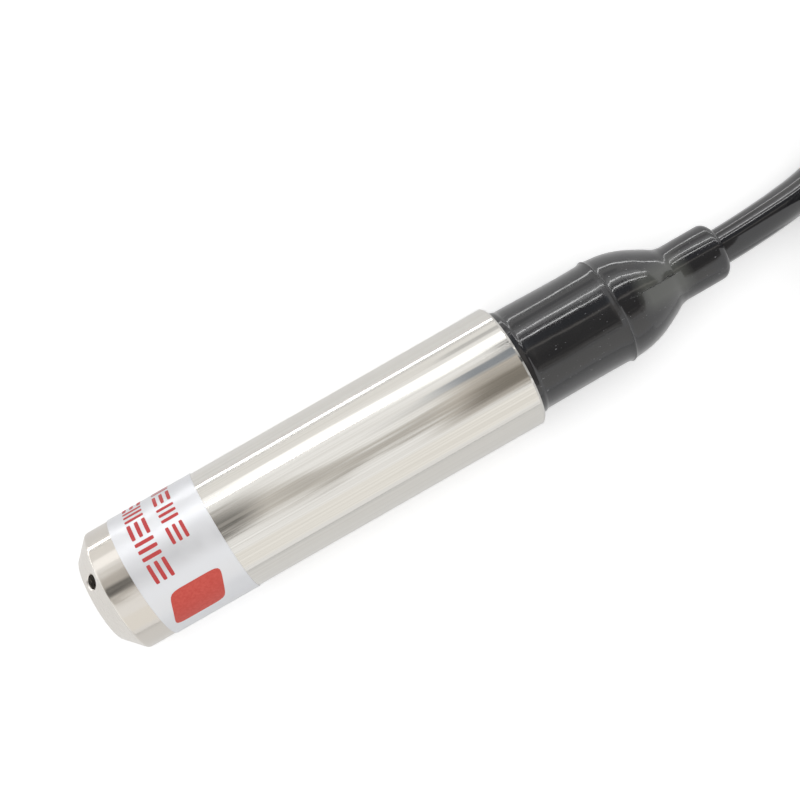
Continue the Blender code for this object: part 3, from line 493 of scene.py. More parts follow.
def softened(outline, radii, steps=5):
    """Round the corners of an outline: each has a radius, and 0 keeps it sharp."""
    points = [Vector((r, s)) for r, s in outline]
    made = []
    for i, (corner, radius) in enumerate(zip(points, radii)):
        if not radius:
            made.append(tuple(corner))
            continue
        before = (points[i - 1] - corner).normalized()
        after = (points[(i + 1) % len(points)] - corner).normalized()
        half = before.angle(after) / 2
        reach = radius / math.tan(half)
        middle = corner + (before + after).normalized() * radius / math.sin(half)
        start = corner + before * reach - middle
        swing = math.pi - 2 * half
        if before.x * after.y - before.y * after.x > 0:
            swing = -swing
        for step in range(steps + 1):
            turn = math.atan2(start.y, start.x) + swing * step / steps
            made.append((middle.x + radius * math.cos(turn), middle.y + radius * math.sin(turn)))
    return made


def turned_form(outline, sides, dent=None):
    """Revolve a closed outline of (radius, station) points. A dent moves a point's radius."""
    form = bmesh.new()
    loops = []
    for i in range(sides):
        turn = 2 * math.pi * i / sides
        loop = []
        for radius, station in outline:
            change = dent(turn, station) if dent else 0.0
            loop.append(form.verts.new(at(station, turn, radius + change)))
        loops.append(loop)
    for i in range(sides):
        join_rings(form, loops[i], loops[(i + 1) % sides])
    return form


# Stage

CAMERA_HEIGHT = 258.0 * MM  # above the probe's axis
CAMERA_STATION = 52.37 * MM
PICTURE_TILT = math.radians(29.72)
LENS_MM = 56.25
SENSOR_MM = 36.0
CLIP_START = 0.01
SHIFT = (0.0975, 0.0925)

FLOOR_SIZE = 5.0
FLOOR_GLOW = 0.34  # brings the board to white for the camera, where no shadow lies
ROOM_LEVEL = 0.62  # light of the white room on the object

LAMP_PLACE = (0.0, 0.1, 0.8)
LAMP_SIZE = (0.9, 0.6)
LAMP_POWER = 2.5

# Thin lights on the +Y side that only reflections see: name, lift over the horizon in degrees,
# distance, width, strength, middle along X and length
STRIPS = (
    ("strip_high", 54.0, 0.33, 0.012, 11.0, 0.342, 0.5),
    ("strip_middle", 37.0, 0.45, 0.018, 10.0, 0.355, 0.89),
    ("strip_low", -0.3, 0.07, 0.003, 7.0, 0.0, 0.6),
)

# Plain side cards that only reflections see: name, distance to the side, middle height, height,
# strength, colour
SIDE_CARDS = (
    ("card_near", -0.36, 0.27, 0.38, 1.03, "#FFFDF9"),
    ("card_far", 0.72, 0.16, 0.3, 1.0, "#FFFEFC"),
)
SIDE_CARD_LENGTH = 1.6

# A small white card behind the boot, so that the wound cable doesn't show in its gloss
END_CARD_GAP = 26.2 * MM
END_CARD_SIZE = (75 * MM, 70 * MM)
END_CARD_OFF = 3 * MM  # from the axis to its near edge

# A less bright card in front of the far side card: its place, the height over the axis, and size
DIM_CARD_X = 0.24
DIM_CARD_Y = 0.6
DIM_CARD_HEIGHT = 0.16
DIM_CARD_SIZE = (0.3, 0.09)
DIM_CARD_LEVEL = 0.66

# The canopy over the probe. A place on it is given by metres along X and by its lift, the angle
# from straight up towards +Y.
CANOPY_HEIGHT = 0.3  # over the probe's axis
CANOPY_Y = 0.23
CANOPY_SIZE = (1.6, 1.1)
CANOPY_LEVEL = 1.06
CLOUD_SIZE = (60 * MM, 30 * MM, 1.0)
CLOUD_SWAY = 0.24  # how far clouds shift the edge of a band, in radians
RUFFLED = 0.3  # share of that on the rear bands
THREAD_SWAY = 0.1  # and on the thread of light

# Bands on the canopy that show as stripes along the probe: middle, half width of the full part and
# reach in degrees of lift, two places along X, and the band's strength at each of them
OVER_REAR = (0.031, 0.057)
OVER_BOOT = (0.082, 0.092)
NOSE_DARK = (4.0, 5.0, 12.0, -0.11, -0.09, 0.45, 0.0)
SECOND_DARK = (19.0, 2.5, 9.0, 0.0, 0.04, 0.0, 0.26)
BOOT_DARK = (4.0, 30.0, 48.0, *OVER_BOOT, 0.0, 0.93)
REAR_DARKS = (
    (0.0, 24.0, 34.0, *OVER_REAR, 0.0, 0.55),
    (-17.0, 9.0, 32.0, *OVER_REAR, 0.0, 0.79),
    (22.0, 4.5, 9.0, *OVER_REAR, 0.0, 1.0),
)
REAR_TOP_DEPTH = 0.7  # of the last one, which tints at its full strength
PANEL_LIGHT = (58.0, 7.5, 11.0, -0.09, -0.06, 0.3, 0.6)
THREAD_LIGHTS = (
    (9.6, 1.2, 2.6, 0.0, 0.08, 0.0, 0.12),
    (9.6, 1.2, 2.6, *OVER_BOOT, 0.0, 0.78),
)

# The dark band over the tube's front half. What changes along it has two places along X and its
# value at each of them.
FRONT_MIDDLE = (-0.06, -0.02, math.radians(9.0), math.radians(-7.5))
FRONT_SPREAD = (-0.07, 0.0, 1.0, 0.45)
FRONT_CORE = 11.0  # half widths in degrees, before they are spread
FRONT_REACH = 38.0
FRONT_DEPTHS = ((-0.06, -0.047, 0.74, 0.27), (-0.047, -0.028, 0.27, 0.42))
NOSE_SHARE = (-0.11, -0.09, 0.6, 1.0)
PANEL_DROP = (0.0, 0.06, 0.0, math.radians(4.0))
# And with the clouds' brightness: two values of it, and the share at each of them
CLOUD_SHARE = (0.35, 0.65, 0.75, 1.2)


def soft_band(tree, angle, middle, core, reach):
    """1 within the core's half width round a middle angle, fading to 0 at the reach. Degrees."""
    away = node(tree, "Math", angle, math.radians(middle), operation="SUBTRACT")
    size = node(tree, "Math", away, operation="ABSOLUTE")
    span = (math.radians(core), math.radians(reach))
    return node(tree, "MapRange", size, *span, 1.0, 0.0, interpolation_type="SMOOTHSTEP")


def canopy_band(tree, along, lift, band):
    """A band's strength over the canopy."""
    middle, core, reach, *stretch = band
    stripe = soft_band(tree, lift, middle, core, reach)
    strength = node(tree, "MapRange", along, *stretch)
    return node(tree, "Math", stripe, strength, operation="MULTIPLY")


def stage_card(name, centre, size, aim, strength, colour="#FFFFFF"):
    """A light or dark card that only reflections see."""
    card = flat_square(name, 0.5)
    card.scale = (*size, 1.0)
    card.location = centre
    card.rotation_euler = (Vector(aim) - Vector(centre)).to_track_quat("Z", "Y").to_euler()
    made = bpy.data.materials.new(name)
    made.use_nodes = True
    tree = made.node_tree
    tree.nodes.clear()
    light = node(tree, "Emission", colour, strength)
    node(tree, "OutputMaterial", light)
    card.data.materials.append(made)
    card.visible_camera = False
    card.visible_diffuse = False
    card.visible_shadow = False
    card.visible_transmission = False
    return card, tree, light


class LEVEL_PROBE_OT_stage(bpy.types.Operator):
    """Set up the camera, the floor, the lamps and the white surroundings"""

    bl_idname = "level_probe.stage"
    bl_label = "Stage"

    def execute(self, context):
        scene = context.scene
        scene.view_settings.view_transform = "Standard"
        camera = bpy.data.cameras.new("camera")
        camera.lens = LENS_MM
        camera.sensor_width = SENSOR_MM
        camera.shift_x, camera.shift_y = SHIFT
        camera.clip_start = CLIP_START
        seat = new_object("camera", camera)
        seat.location = (NOSE_X + CAMERA_STATION, 0.0, AXIS_Z + CAMERA_HEIGHT)
        seat.rotation_euler = (0.0, 0.0, -PICTURE_TILT)
        scene.camera = seat
        self.add_floor()
        self.add_world(scene)
        self.add_lamp()
        self.add_cards()
        self.add_canopy()
        return {"FINISHED"}

    def add_floor(self):
        floor = flat_square("floor", FLOOR_SIZE)
        made, tree, shader = new_material("matt_white_board", "#F4F4F4", 0.9)
        shader.inputs["Emission Color"].default_value = (1.0, 1.0, 1.0, 1.0)
        rays = node(tree, "LightPath").outputs
        glow = node(tree, "Math", rays["Is Camera Ray"], FLOOR_GLOW, operation="MULTIPLY")
        feed(tree, shader.inputs["Emission Strength"], glow)
        floor.data.materials.append(made)

    def add_world(self, scene):
        world = bpy.data.worlds.new("white_room")
        scene.world = world
        world.use_nodes = True
        tree = world.node_tree
        tree.nodes.clear()
        rays = node(tree, "LightPath").outputs
        seen = rays["Is Camera Ray"]
        for name in ("Is Glossy Ray", "Is Transmission Ray"):
            seen = node(tree, "Math", seen, rays[name], operation="MAXIMUM")
        strength = node(tree, "MapRange", seen, 0.0, 1.0, ROOM_LEVEL, 1.0)
        node(tree, "OutputWorld", node(tree, "Background", "#FFFFFF", strength))

    def add_lamp(self):
        light = bpy.data.lights.new("soft_top", "AREA")
        light.shape = "RECTANGLE"
        light.size, light.size_y = LAMP_SIZE
        light.energy = LAMP_POWER
        lamp = new_object("soft_top", light)
        lamp.location = LAMP_PLACE
        away = Vector(LAMP_PLACE) - Vector((0.0, 0.0, AXIS_Z))
        lamp.rotation_euler = away.to_track_quat("Z", "Y").to_euler()

    def add_cards(self):
        for name, lift, reach, width, strength, middle_x, length in STRIPS:
            turn = math.radians(lift)
            centre = (middle_x, reach * math.cos(turn), AXIS_Z + reach * math.sin(turn))
            stage_card(name, centre, (length, width), (middle_x, 0.0, AXIS_Z), strength)
        for name, side, height, tall, strength, colour in SIDE_CARDS:
            size, aim = (SIDE_CARD_LENGTH, tall), (0.0, 0.0, height)
            stage_card(name, (0.0, side, height), size, aim, strength, colour)
        wide, tall = END_CARD_SIZE
        centre = (NECK_END_X + END_CARD_GAP, -wide / 2 - END_CARD_OFF, tall / 2)
        stage_card("card_end", centre, END_CARD_SIZE, (0.0, *centre[1:]), 1.0)
        centre = (DIM_CARD_X, DIM_CARD_Y, AXIS_Z + DIM_CARD_HEIGHT)
        stage_card("card_dim", centre, DIM_CARD_SIZE, (centre[0], 0.0, centre[2]), DIM_CARD_LEVEL)

    def add_canopy(self):
        """A canopy that only reflections see: dark flags over the camera, a white panel beside them."""
        centre = (0.0, CANOPY_Y, AXIS_Z + CANOPY_HEIGHT)
        card, tree, light = stage_card("canopy", centre, CANOPY_SIZE, (0.0, CANOPY_Y, 0.0), 1.0)
        card.rotation_euler = (math.pi, 0.0, 0.0)
        axes = object_axes(tree)
        along = node(tree, "Math", axes[0], CANOPY_SIZE[0], operation="MULTIPLY")
        across = node(tree, "Math", axes[1], -CANOPY_SIZE[1], CANOPY_Y, operation="MULTIPLY_ADD")
        metres = node(tree, "CombineXYZ", along, across)
        clouds = grain(tree, CLOUD_SIZE, 5.0, 0.6, place=metres)
        lift = node(tree, "Math", across, CANOPY_HEIGHT, operation="ARCTAN2")
        sway = node(tree, "MapRange", clouds, *NOISE_SPAN, -CLOUD_SWAY, CLOUD_SWAY)
        wavering = node(tree, "Math", lift, sway, operation="ADD")
        flag, dark = self.front_dark(tree, along, wavering, clouds)
        for band in (NOSE_DARK, SECOND_DARK):
            dark = node(tree, "Math", dark, canopy_band(tree, along, lift, band), operation="ADD")
        ruffled = node(tree, "Math", sway, RUFFLED, lift, operation="MULTIPLY_ADD")
        fill, low, top = (canopy_band(tree, along, ruffled, band) for band in REAR_DARKS)
        warm = node(tree, "Math", fill, low, operation="MAXIMUM")
        cool = node(tree, "Math", top, REAR_TOP_DEPTH, operation="MULTIPLY")
        boot = canopy_band(tree, along, wavering, BOOT_DARK)
        for other in (warm, cool, boot):
            dark = node(tree, "Math", dark, other, operation="MAXIMUM")
        drop = node(tree, "MapRange", along, *PANEL_DROP)
        lowered = node(tree, "Math", lift, drop, operation="ADD")
        threaded = node(tree, "Math", sway, THREAD_SWAY, lift, operation="MULTIPLY_ADD")
        lights = [canopy_band(tree, along, lowered, PANEL_LIGHT)]
        lights += [canopy_band(tree, along, threaded, band) for band in THREAD_LIGHTS]
        level = node(tree, "Math", CANOPY_LEVEL, dark, operation="SUBTRACT")
        for band in lights:
            level = node(tree, "Math", level, band, operation="ADD")
        feed(tree, light.inputs["Strength"], level)
        tint = tinted(tree, "#FFFFFF", (flag, "#F6F2EC"), (warm, "#FFF3E2"), (top, "#E8F2FF"))
        feed(tree, light.inputs["Color"], tint)

    def front_dark(self, tree, along, wavering, clouds):
        """The dark band over the tube's front half: where it lies, and how dark it makes the canopy."""
        middle = node(tree, "MapRange", along, *FRONT_MIDDLE)
        spread = node(tree, "MapRange", along, *FRONT_SPREAD)
        away = node(tree, "Math", wavering, middle, operation="SUBTRACT")
        from_middle = node(tree, "Math", away, spread, operation="DIVIDE")
        flag = soft_band(tree, from_middle, 0.0, FRONT_CORE, FRONT_REACH)
        falling, rising = (node(tree, "MapRange", along, *stretch) for stretch in FRONT_DEPTHS)
        depth = node(tree, "Math", falling, rising, operation="MAXIMUM")
        nose_share = node(tree, "MapRange", along, *NOSE_SHARE)
        cloud_share = node(tree, "MapRange", clouds, *CLOUD_SHARE)
        for share in (nose_share, cloud_share, flag):
            depth = node(tree, "Math", depth, share, operation="MULTIPLY")
        return flag, depth


# Straps

STRAP_TAILS = {"hank_tie_1": "strap_tail_1", "hank_tie_2": "strap_tail_2"}
STRAP_CORNER_R = 4.0 * MM
TAIL_THICKNESS = 0.9 * MM
TAIL_START = -3.0 * MM  # from the middle of the strap's top
TAIL_END = 27.0 * MM
TAIL_INSET = 0.2 * MM  # from the strap's edges
TAIL_STEPS = 60
TIP_HALF = 1.0 * MM  # half width of the tail's very tip
STITCHES = 9
STITCH_ROWS = (1.2 * MM, 3.6 * MM)  # from the tail's sewn end
STITCH_INSET = 1.2 * MM
STITCH_R = 0.2 * MM
STITCH_FORM = (2.2, 1.0, 0.7)  # length, width and height as shares of a ball's
STITCH_LIFT = 0.02 * MM
# Across as a share of the half width, and lift over the strap
TAIL_SECTION = (
    (-1.0, 0.05 * MM),
    (-1.0, 0.6 * TAIL_THICKNESS),
    (-0.95, TAIL_THICKNESS),
    (0.95, TAIL_THICKNESS),
    (1.0, 0.6 * TAIL_THICKNESS),
    (1.0, 0.05 * MM),
)


class LEVEL_PROBE_OT_straps(bpy.types.Operator):
    """Finish the two straps that hold the hank, and lay their sewn tails over them"""

    bl_idname = "level_probe.straps"
    bl_label = "Straps"

    def execute(self, context):
        cloth = woven_strap("nylon_strap_woven", "#1A1A1D", "#3B3B40")
        hooks = woven_strap("nylon_strap_hooks", "#232327", "#47474D")
        thread = plain_finish("polyester_thread", "#56565C", "#6A6A70", 0.6, size=0.3 * MM)
        for name, tail in STRAP_TAILS.items():
            paint(name, cloth)
            finish_piece(self.make_tail(tail, name), hooks, "strap_fabric")
            finish_piece(self.make_stitches(tail + "_stitches", name), thread, "strap_fabric")
        return {"FINISHED"}

    def over_strap(self, name, length):
        """Place on the strap's outside and its outward direction, a length along from the top's middle."""
        low, high = node_box(name)
        middle = (low + high) / 2
        side = 1.0 if middle.y > (HANK_LOW.y + HANK_HIGH.y) / 2 else -1.0
        flat = (high.y - low.y) / 2 - STRAP_CORNER_R
        bend = math.pi / 2 * STRAP_CORNER_R
        turn = min(max((length - flat) / STRAP_CORNER_R, 0.0), math.pi / 2)
        y = min(length, flat) + STRAP_CORNER_R * math.sin(turn)
        z = high.z - STRAP_CORNER_R * (1 - math.cos(turn)) - max(length - flat - bend, 0.0)
        place = Vector((middle.x, middle.y + side * y, z))
        return place, Vector((0.0, side * math.sin(turn), math.cos(turn)))

    def make_tail(self, tail, name):
        """The strap's free end: it runs over the top and down the outer side, to a rounded tip."""
        low, high = node_box(name)
        half = (high.x - low.x) / 2 - TAIL_INSET
        form = bmesh.new()
        rings = []
        for i in range(TAIL_STEPS + 1):
            length = TAIL_START + (TAIL_END - TAIL_START) * i / TAIL_STEPS
            place, out = self.over_strap(name, length)
            left = (TAIL_END - length) / half
            reach = half * (math.sqrt(1 - (1 - left) ** 2) if left < 1 else 1.0)
            edge = Vector((max(reach, TIP_HALF), 0.0, 0.0))
            points = [place + out * lift + edge * share for share, lift in TAIL_SECTION]
            rings.append([form.verts.new(point) for point in points])
        for here, there in zip(rings, rings[1:]):
            join_rings(form, here, there)
        form.faces.new(rings[0])
        form.faces.new(rings[-1][::-1])
        return mesh_object(tail, form, math.radians(50.0))

    def make_stitches(self, made, name):
        """Two rows of stitches across the tail's sewn end."""
        low, high = node_box(name)
        half = (high.x - low.x) / 2 - STITCH_INSET
        form = bmesh.new()
        for row in STITCH_ROWS:
            place, out = self.over_strap(name, TAIL_START + row)
            for i in range(STITCHES):
                across = half * (2 * i / (STITCHES - 1) - 1)
                centre = place + out * (TAIL_THICKNESS + STITCH_LIFT) + Vector((across, 0.0, 0.0))
                ball = bmesh.ops.create_uvsphere(form, u_segments=10, v_segments=6, radius=STITCH_R)
                bmesh.ops.scale(form, vec=STITCH_FORM, verts=ball["verts"])
                bmesh.ops.translate(form, vec=centre, verts=ball["verts"])
        return mesh_object(made, form)


# Cable

# The lead from the boot down to the hank's lowest layer: each point's distance from the boot's end, its
# distance from the axis, and its share of the way down
LEAD_ROUTE = (
    (0.3 * MM, 0.0 * MM, 0.0),
    (5.55 * MM, 0.17 * MM, 0.008),
    (11.05 * MM, 0.5 * MM, 0.055),
    (16.55 * MM, 0.97 * MM, 0.165),
    (22.55 * MM, 1.7 * MM, 0.34),
    (28.55 * MM, 2.9 * MM, 0.54),
    (34.55 * MM, 4.5 * MM, 0.726),
    (40.55 * MM, 6.15 * MM, 0.877),
    (47.55 * MM, 7.9 * MM, 0.971),
    (54.55 * MM, 9.1 * MM, 0.998),
)
CABLE_START_INSIDE = 4.0 * MM
STEP = 5.0 * MM  # between points of the wound cable
CLIMB_END = 0.6  # share of the near bend in which a turn changes its level
END_REACH = 12.0 * MM  # the jacket ends this far from the near bend's centre
HUMP = 0.5  # layers that a turn rises in passing over to the inner column


def smooth_route(points, spans):
    """Points on one smooth curve through the route's own points."""
    points = [Vector(p) for p in points]
    ends = [points[0] * 2 - points[1], *points, points[-1] * 2 - points[-2]]
    route = []
    for i in range(1, len(ends) - 2):
        before, here, there, after = ends[i - 1 : i + 3]
        for step in range(spans):
            t = step / spans
            route.append(
                0.5
                * (
                    here * 2
                    + (there - before) * t
                    + (before * 2 - here * 5 + there * 4 - after) * t**2
                    + (here * 3 - before - there * 3 + after) * t**3
                )
            )
    route.append(points[-1])
    return route


def ease(t):
    t = min(max(t, 0.0), 1.0)
    return t * t * (3 - 2 * t)


def hank_turns(settings):
    """The wound cable: a column of outer turns that climbs, then a column of inner turns inside it."""
    outer, inner = settings.outer_bend, settings.inner_bend
    near_x = HANK_LOW.x + outer + CABLE_R
    far_x = HANK_HIGH.x - outer - CABLE_R
    middle_y = (HANK_LOW.y + HANK_HIGH.y) / 2
    base_z = HANK_LOW.z + CABLE_R
    layer = 2 * CABLE_R
    top = settings.layers - 1
    laps = [(outer, k, outer if k < top else inner, min(k + 1, top)) for k in range(top + 1)]
    laps += [(inner, k, inner, max(k - 1, 0)) for k in range(top, -1, -1)]
    points = []
    for number, (bend, level, next_bend, next_level) in enumerate(laps):
        last = number == len(laps) - 1
        points += lap_points(bend, level, next_bend, next_level, near_x, far_x, middle_y, last)
    return [Vector((x, y, base_z + level * layer)) for x, y, level in points]


def lap_points(bend, level, next_bend, next_level, near_x, far_x, middle_y, last):
    """One turn of the hank: out, round the far bend, back, and round the near bend to the next turn."""
    run = far_x - near_x
    points = []
    steps = max(2, round(run / STEP))
    for i in range(steps):
        points.append((near_x + run * i / steps, middle_y + bend, level))
    arc_steps = max(8, round(math.pi * bend / STEP))
    for i in range(arc_steps):
        turn = math.pi * i / arc_steps
        points.append((far_x + bend * math.sin(turn), middle_y + bend * math.cos(turn), level))
    back_run = run - END_REACH if last else run
    back_steps = max(2, round(back_run / STEP))
    for i in range(back_steps):
        points.append((far_x - back_run * i / back_steps, middle_y - bend, level))
    if last:
        points.append((near_x + END_REACH, middle_y - bend, level))
        return points
    for i in range(arc_steps):
        share = i / arc_steps
        eased = ease(share / CLIMB_END)
        radius = bend + (next_bend - bend) * eased
        hump = HUMP * (1 - (2 * eased - 1) ** 4) if next_bend != bend else 0.0
        height = level + (next_level - level) * eased + hump
        turn = math.pi * share
        points.append((near_x - radius * math.sin(turn), middle_y - radius * math.cos(turn), height))
    return points


def round_curve(name, points, radius, resolution=5):
    curve = bpy.data.curves.new(name, "CURVE")
    curve.dimensions = "3D"
    curve.bevel_depth = radius
    curve.bevel_resolution = resolution
    curve.use_fill_caps = True
    spline = curve.splines.new("POLY")
    spline.points.add(len(points) - 1)
    for point, place in zip(spline.points, points):
        point.co = (*place, 1.0)
    spline.use_smooth = True
    return new_object(name, curve)


class LEVEL_PROBE_OT_cable(bpy.types.Operator):
    """Lay the cable from the boot into its hank, with its stripped end"""

    bl_idname = "level_probe.cable"
    bl_label = "Cable"

    def execute(self, context):
        settings = context.scene.level_probe_cable
        drop = AXIS_Z - HANK_LOW.z - CABLE_R
        points = [(NECK_END_X - CABLE_START_INSIDE, 0.0, AXIS_Z)]
        points += [(NECK_END_X + x, y, AXIS_Z - share * drop) for x, y, share in LEAD_ROUTE]
        turns = hank_turns(settings)
        route = smooth_route((*points, *turns[:2]), 3) + turns[2:]
        jacket = cable_jacket(settings.jacket)
        cable = round_curve("vented_cable", route, CABLE_R)
        finish_piece(cable, jacket, "cable_jacket", "cable_lead", "cable_hank")
        ends = self.strip_ends()
        return {"FINISHED"}

    def strip_ends(self):
        """Leave the end's CAD pieces in place, with their own finishes."""
        finishes = {
            "end_core_red": plain_finish("pvc_core_red", "#B5221C", "#A51E19", 0.35),
            "end_core_black": plain_finish("pvc_core_black", "#1C1C1E", "#242427", 0.35),
            "end_vent_tube": plain_finish("nylon_vent_tube", "#DAD9D2", "#CFCEC6", 0.35),
        }
        for name, finish in finishes.items():
            paint(name, finish)
        return list(finishes)


# Steel body

TUBE_WALL = 1.5 * MM
TUBE_FRONT_CHAMFER = 0.25 * MM
TUBE_BORE_CHAMFER = 0.2 * MM

CAP_JOINT = 0.3 * MM  # between the cap's cylinder and the tube
SPIGOT_INSET = 1.8 * MM  # from the tube's outside
SPIGOT_WALL = 1.9 * MM
FACE_THICKNESS = 2.0 * MM
CHAMBER_R = 7.4 * MM
CHAMBER_END = 8.6 * MM
POINT_R = 0.01 * MM  # where the flat end closes on the axis
# Roundings of the cap's edges: at the tube, at the cone's foot and at the flat end
JOINT_ROUND = 0.1 * MM
CONE_ROUND = 0.9 * MM
FACE_ROUND = 1.2 * MM

INLETS = 3
DRILL_SIDES = 48
DRILL_DEPTH = 6.5 * MM
DRILL_OUT = 3.0 * MM
MOUTH = 0.28 * MM  # the inlet widens this far over and under the cone's surface


class LEVEL_PROBE_OT_body(bpy.types.Operator):
    """Make the nose cap with its inlets, and the tube"""

    bl_idname = "level_probe.body"
    bl_label = "Steel body"

    def execute(self, context):
        settings = context.scene.level_probe_body
        polished = polished_stainless(settings.steel)
        cylinder = NOSE_X + settings.cone_length
        turned = turned_stainless(settings.satin, polished_from=cylinder)
        self.make_tube(settings, polished)
        self.make_nose(settings, turned)
        return {"FINISHED"}

    def make_tube(self, settings, material):
        chamfer = settings.rim_chamfer
        start, end = TUBE_LOW.x - NOSE_X, TUBE_HIGH.x - NOSE_X
        bore_r = TUBE_R - TUBE_WALL
        outline = [
            (TUBE_R - chamfer, end),
            (TUBE_R, end - chamfer),
            (TUBE_R, start + TUBE_FRONT_CHAMFER),
            (TUBE_R - TUBE_FRONT_CHAMFER, start),
            (bore_r, start),
            (bore_r, end - TUBE_BORE_CHAMFER),
            (bore_r + TUBE_BORE_CHAMFER, end),
        ]
        tube = mesh_object("steel_tube", turned_form(outline, settings.sides))
        finish_piece(tube, material, "polished_steel", "probe_tube")

    def make_nose(self, settings, material):
        length = TUBE_LOW.x - NOSE_X - CAP_JOINT
        spigot_r = TUBE_R - SPIGOT_INSET
        bore_r = spigot_r - SPIGOT_WALL
        cap_end = CAP_HIGH.x - NOSE_X
        corners = (
            (spigot_r, cap_end, 0.0),
            (spigot_r, length, 0.0),
            (TUBE_R, length, JOINT_ROUND),
            (TUBE_R, settings.cone_length, CONE_ROUND),
            (settings.face_radius, 0.0, FACE_ROUND),
            (POINT_R, 0.0, 0.0),
            (POINT_R, FACE_THICKNESS, 0.0),
            (CHAMBER_R, FACE_THICKNESS, 0.0),
            (CHAMBER_R, CHAMBER_END, 0.0),
            (bore_r, CHAMBER_END, 0.0),
            (bore_r, cap_end, 0.0),
        )
        outline = softened([c[:2] for c in corners], [c[2] for c in corners])
        nose = mesh_object("nose_cone", turned_form(outline, settings.sides))
        slant = math.hypot(settings.cone_length, TUBE_R - settings.face_radius)
        out_share = settings.cone_length / slant
        back_share = (TUBE_R - settings.face_radius) / slant
        for i in range(INLETS):
            turn = settings.first_inlet + 2 * math.pi * i / INLETS
            outward = Vector((0.0, math.sin(turn), math.cos(turn)))
            direction = outward * out_share - Vector((back_share, 0.0, 0.0))
            centre = at(settings.cone_length / 2, turn, (TUBE_R + settings.face_radius) / 2)
            drill = self.make_drill(f"drill_{i + 1}", settings.inlet_radius, centre, direction)
            cut = nose.modifiers.new(drill.name, "BOOLEAN")
            cut.object = drill
            cut.operation = "DIFFERENCE"
            cut.solver = "EXACT"
        self.apply_and_clear(nose)
        finish_piece(nose, material, "satin_steel", "nose_cap")

    def make_drill(self, name, radius, centre, direction):
        """A drill whose mouth widens at the surface, along a direction out of the steel."""
        mouth_r = radius + 2 * MOUTH
        profile = ((radius, -DRILL_DEPTH), (radius, -MOUTH), (mouth_r, MOUTH), (mouth_r, DRILL_OUT))
        turns = [2 * math.pi * i / DRILL_SIDES for i in range(DRILL_SIDES)]
        form = bmesh.new()
        loops = []
        for r, level in profile:
            loops.append([form.verts.new((r * math.cos(t), r * math.sin(t), level)) for t in turns])
        for here, there in zip(loops, loops[1:]):
            join_rings(form, here, there)
        form.faces.new(loops[0][::-1])
        form.faces.new(loops[-1])
        bmesh.ops.recalc_face_normals(form, faces=form.faces)
        drill = new_object(name, mesh_from(name, form))
        drill.location = centre
        drill.rotation_euler = direction.to_track_quat("Z", "Y").to_euler()
        return drill

    def apply_and_clear(self, piece):
        """Keep the piece as its drills leave it, and remove them."""
        bpy.context.view_layer.update()
        tools = [m.object for m in piece.modifiers]
        evaluated = piece.evaluated_get(bpy.context.evaluated_depsgraph_get())
        mesh = bpy.data.meshes.new_from_object(evaluated)
        piece.modifiers.clear()
        piece.data = mesh
        mesh.shade_smooth()
        mesh.set_sharp_from_angle(angle=math.radians(25.0))
        for tool in tools:
            bpy.data.objects.remove(tool, do_unlink=True)


# Label

LABEL_SIDES = 180
LABEL_FIRST = math.radians(-165.0)  # turn at each end of the foil, on the probe's underside
LABEL_LAST = math.radians(187.0)
LABEL_LIFT = 0.02 * MM  # from the tube to the foil
LABEL_EDGE = 0.05 * MM
INK_LIFT = 0.02 * MM

# Rows of hatched blocks: middle along the label, count, turn of the first in degrees, size
BLOCK_ROWS = ((5.7 * MM, 5, -3.0, 4.2 * MM), (12.3 * MM, 4, 18.0, 3.8 * MM))
BLOCK_PITCH = 5.0 * MM
BLOCK_CORNER = 9.0  # higher is squarer

# The large field: turn, middle along the label, size along it and round it, corner, lean
FIELD = (math.radians(-42.0), 8.8 * MM, 11.5 * MM, 8.6 * MM, 7.0, 0.35)
FINE_FROM = 5 * MM  # spots that are larger round the label have finer edges


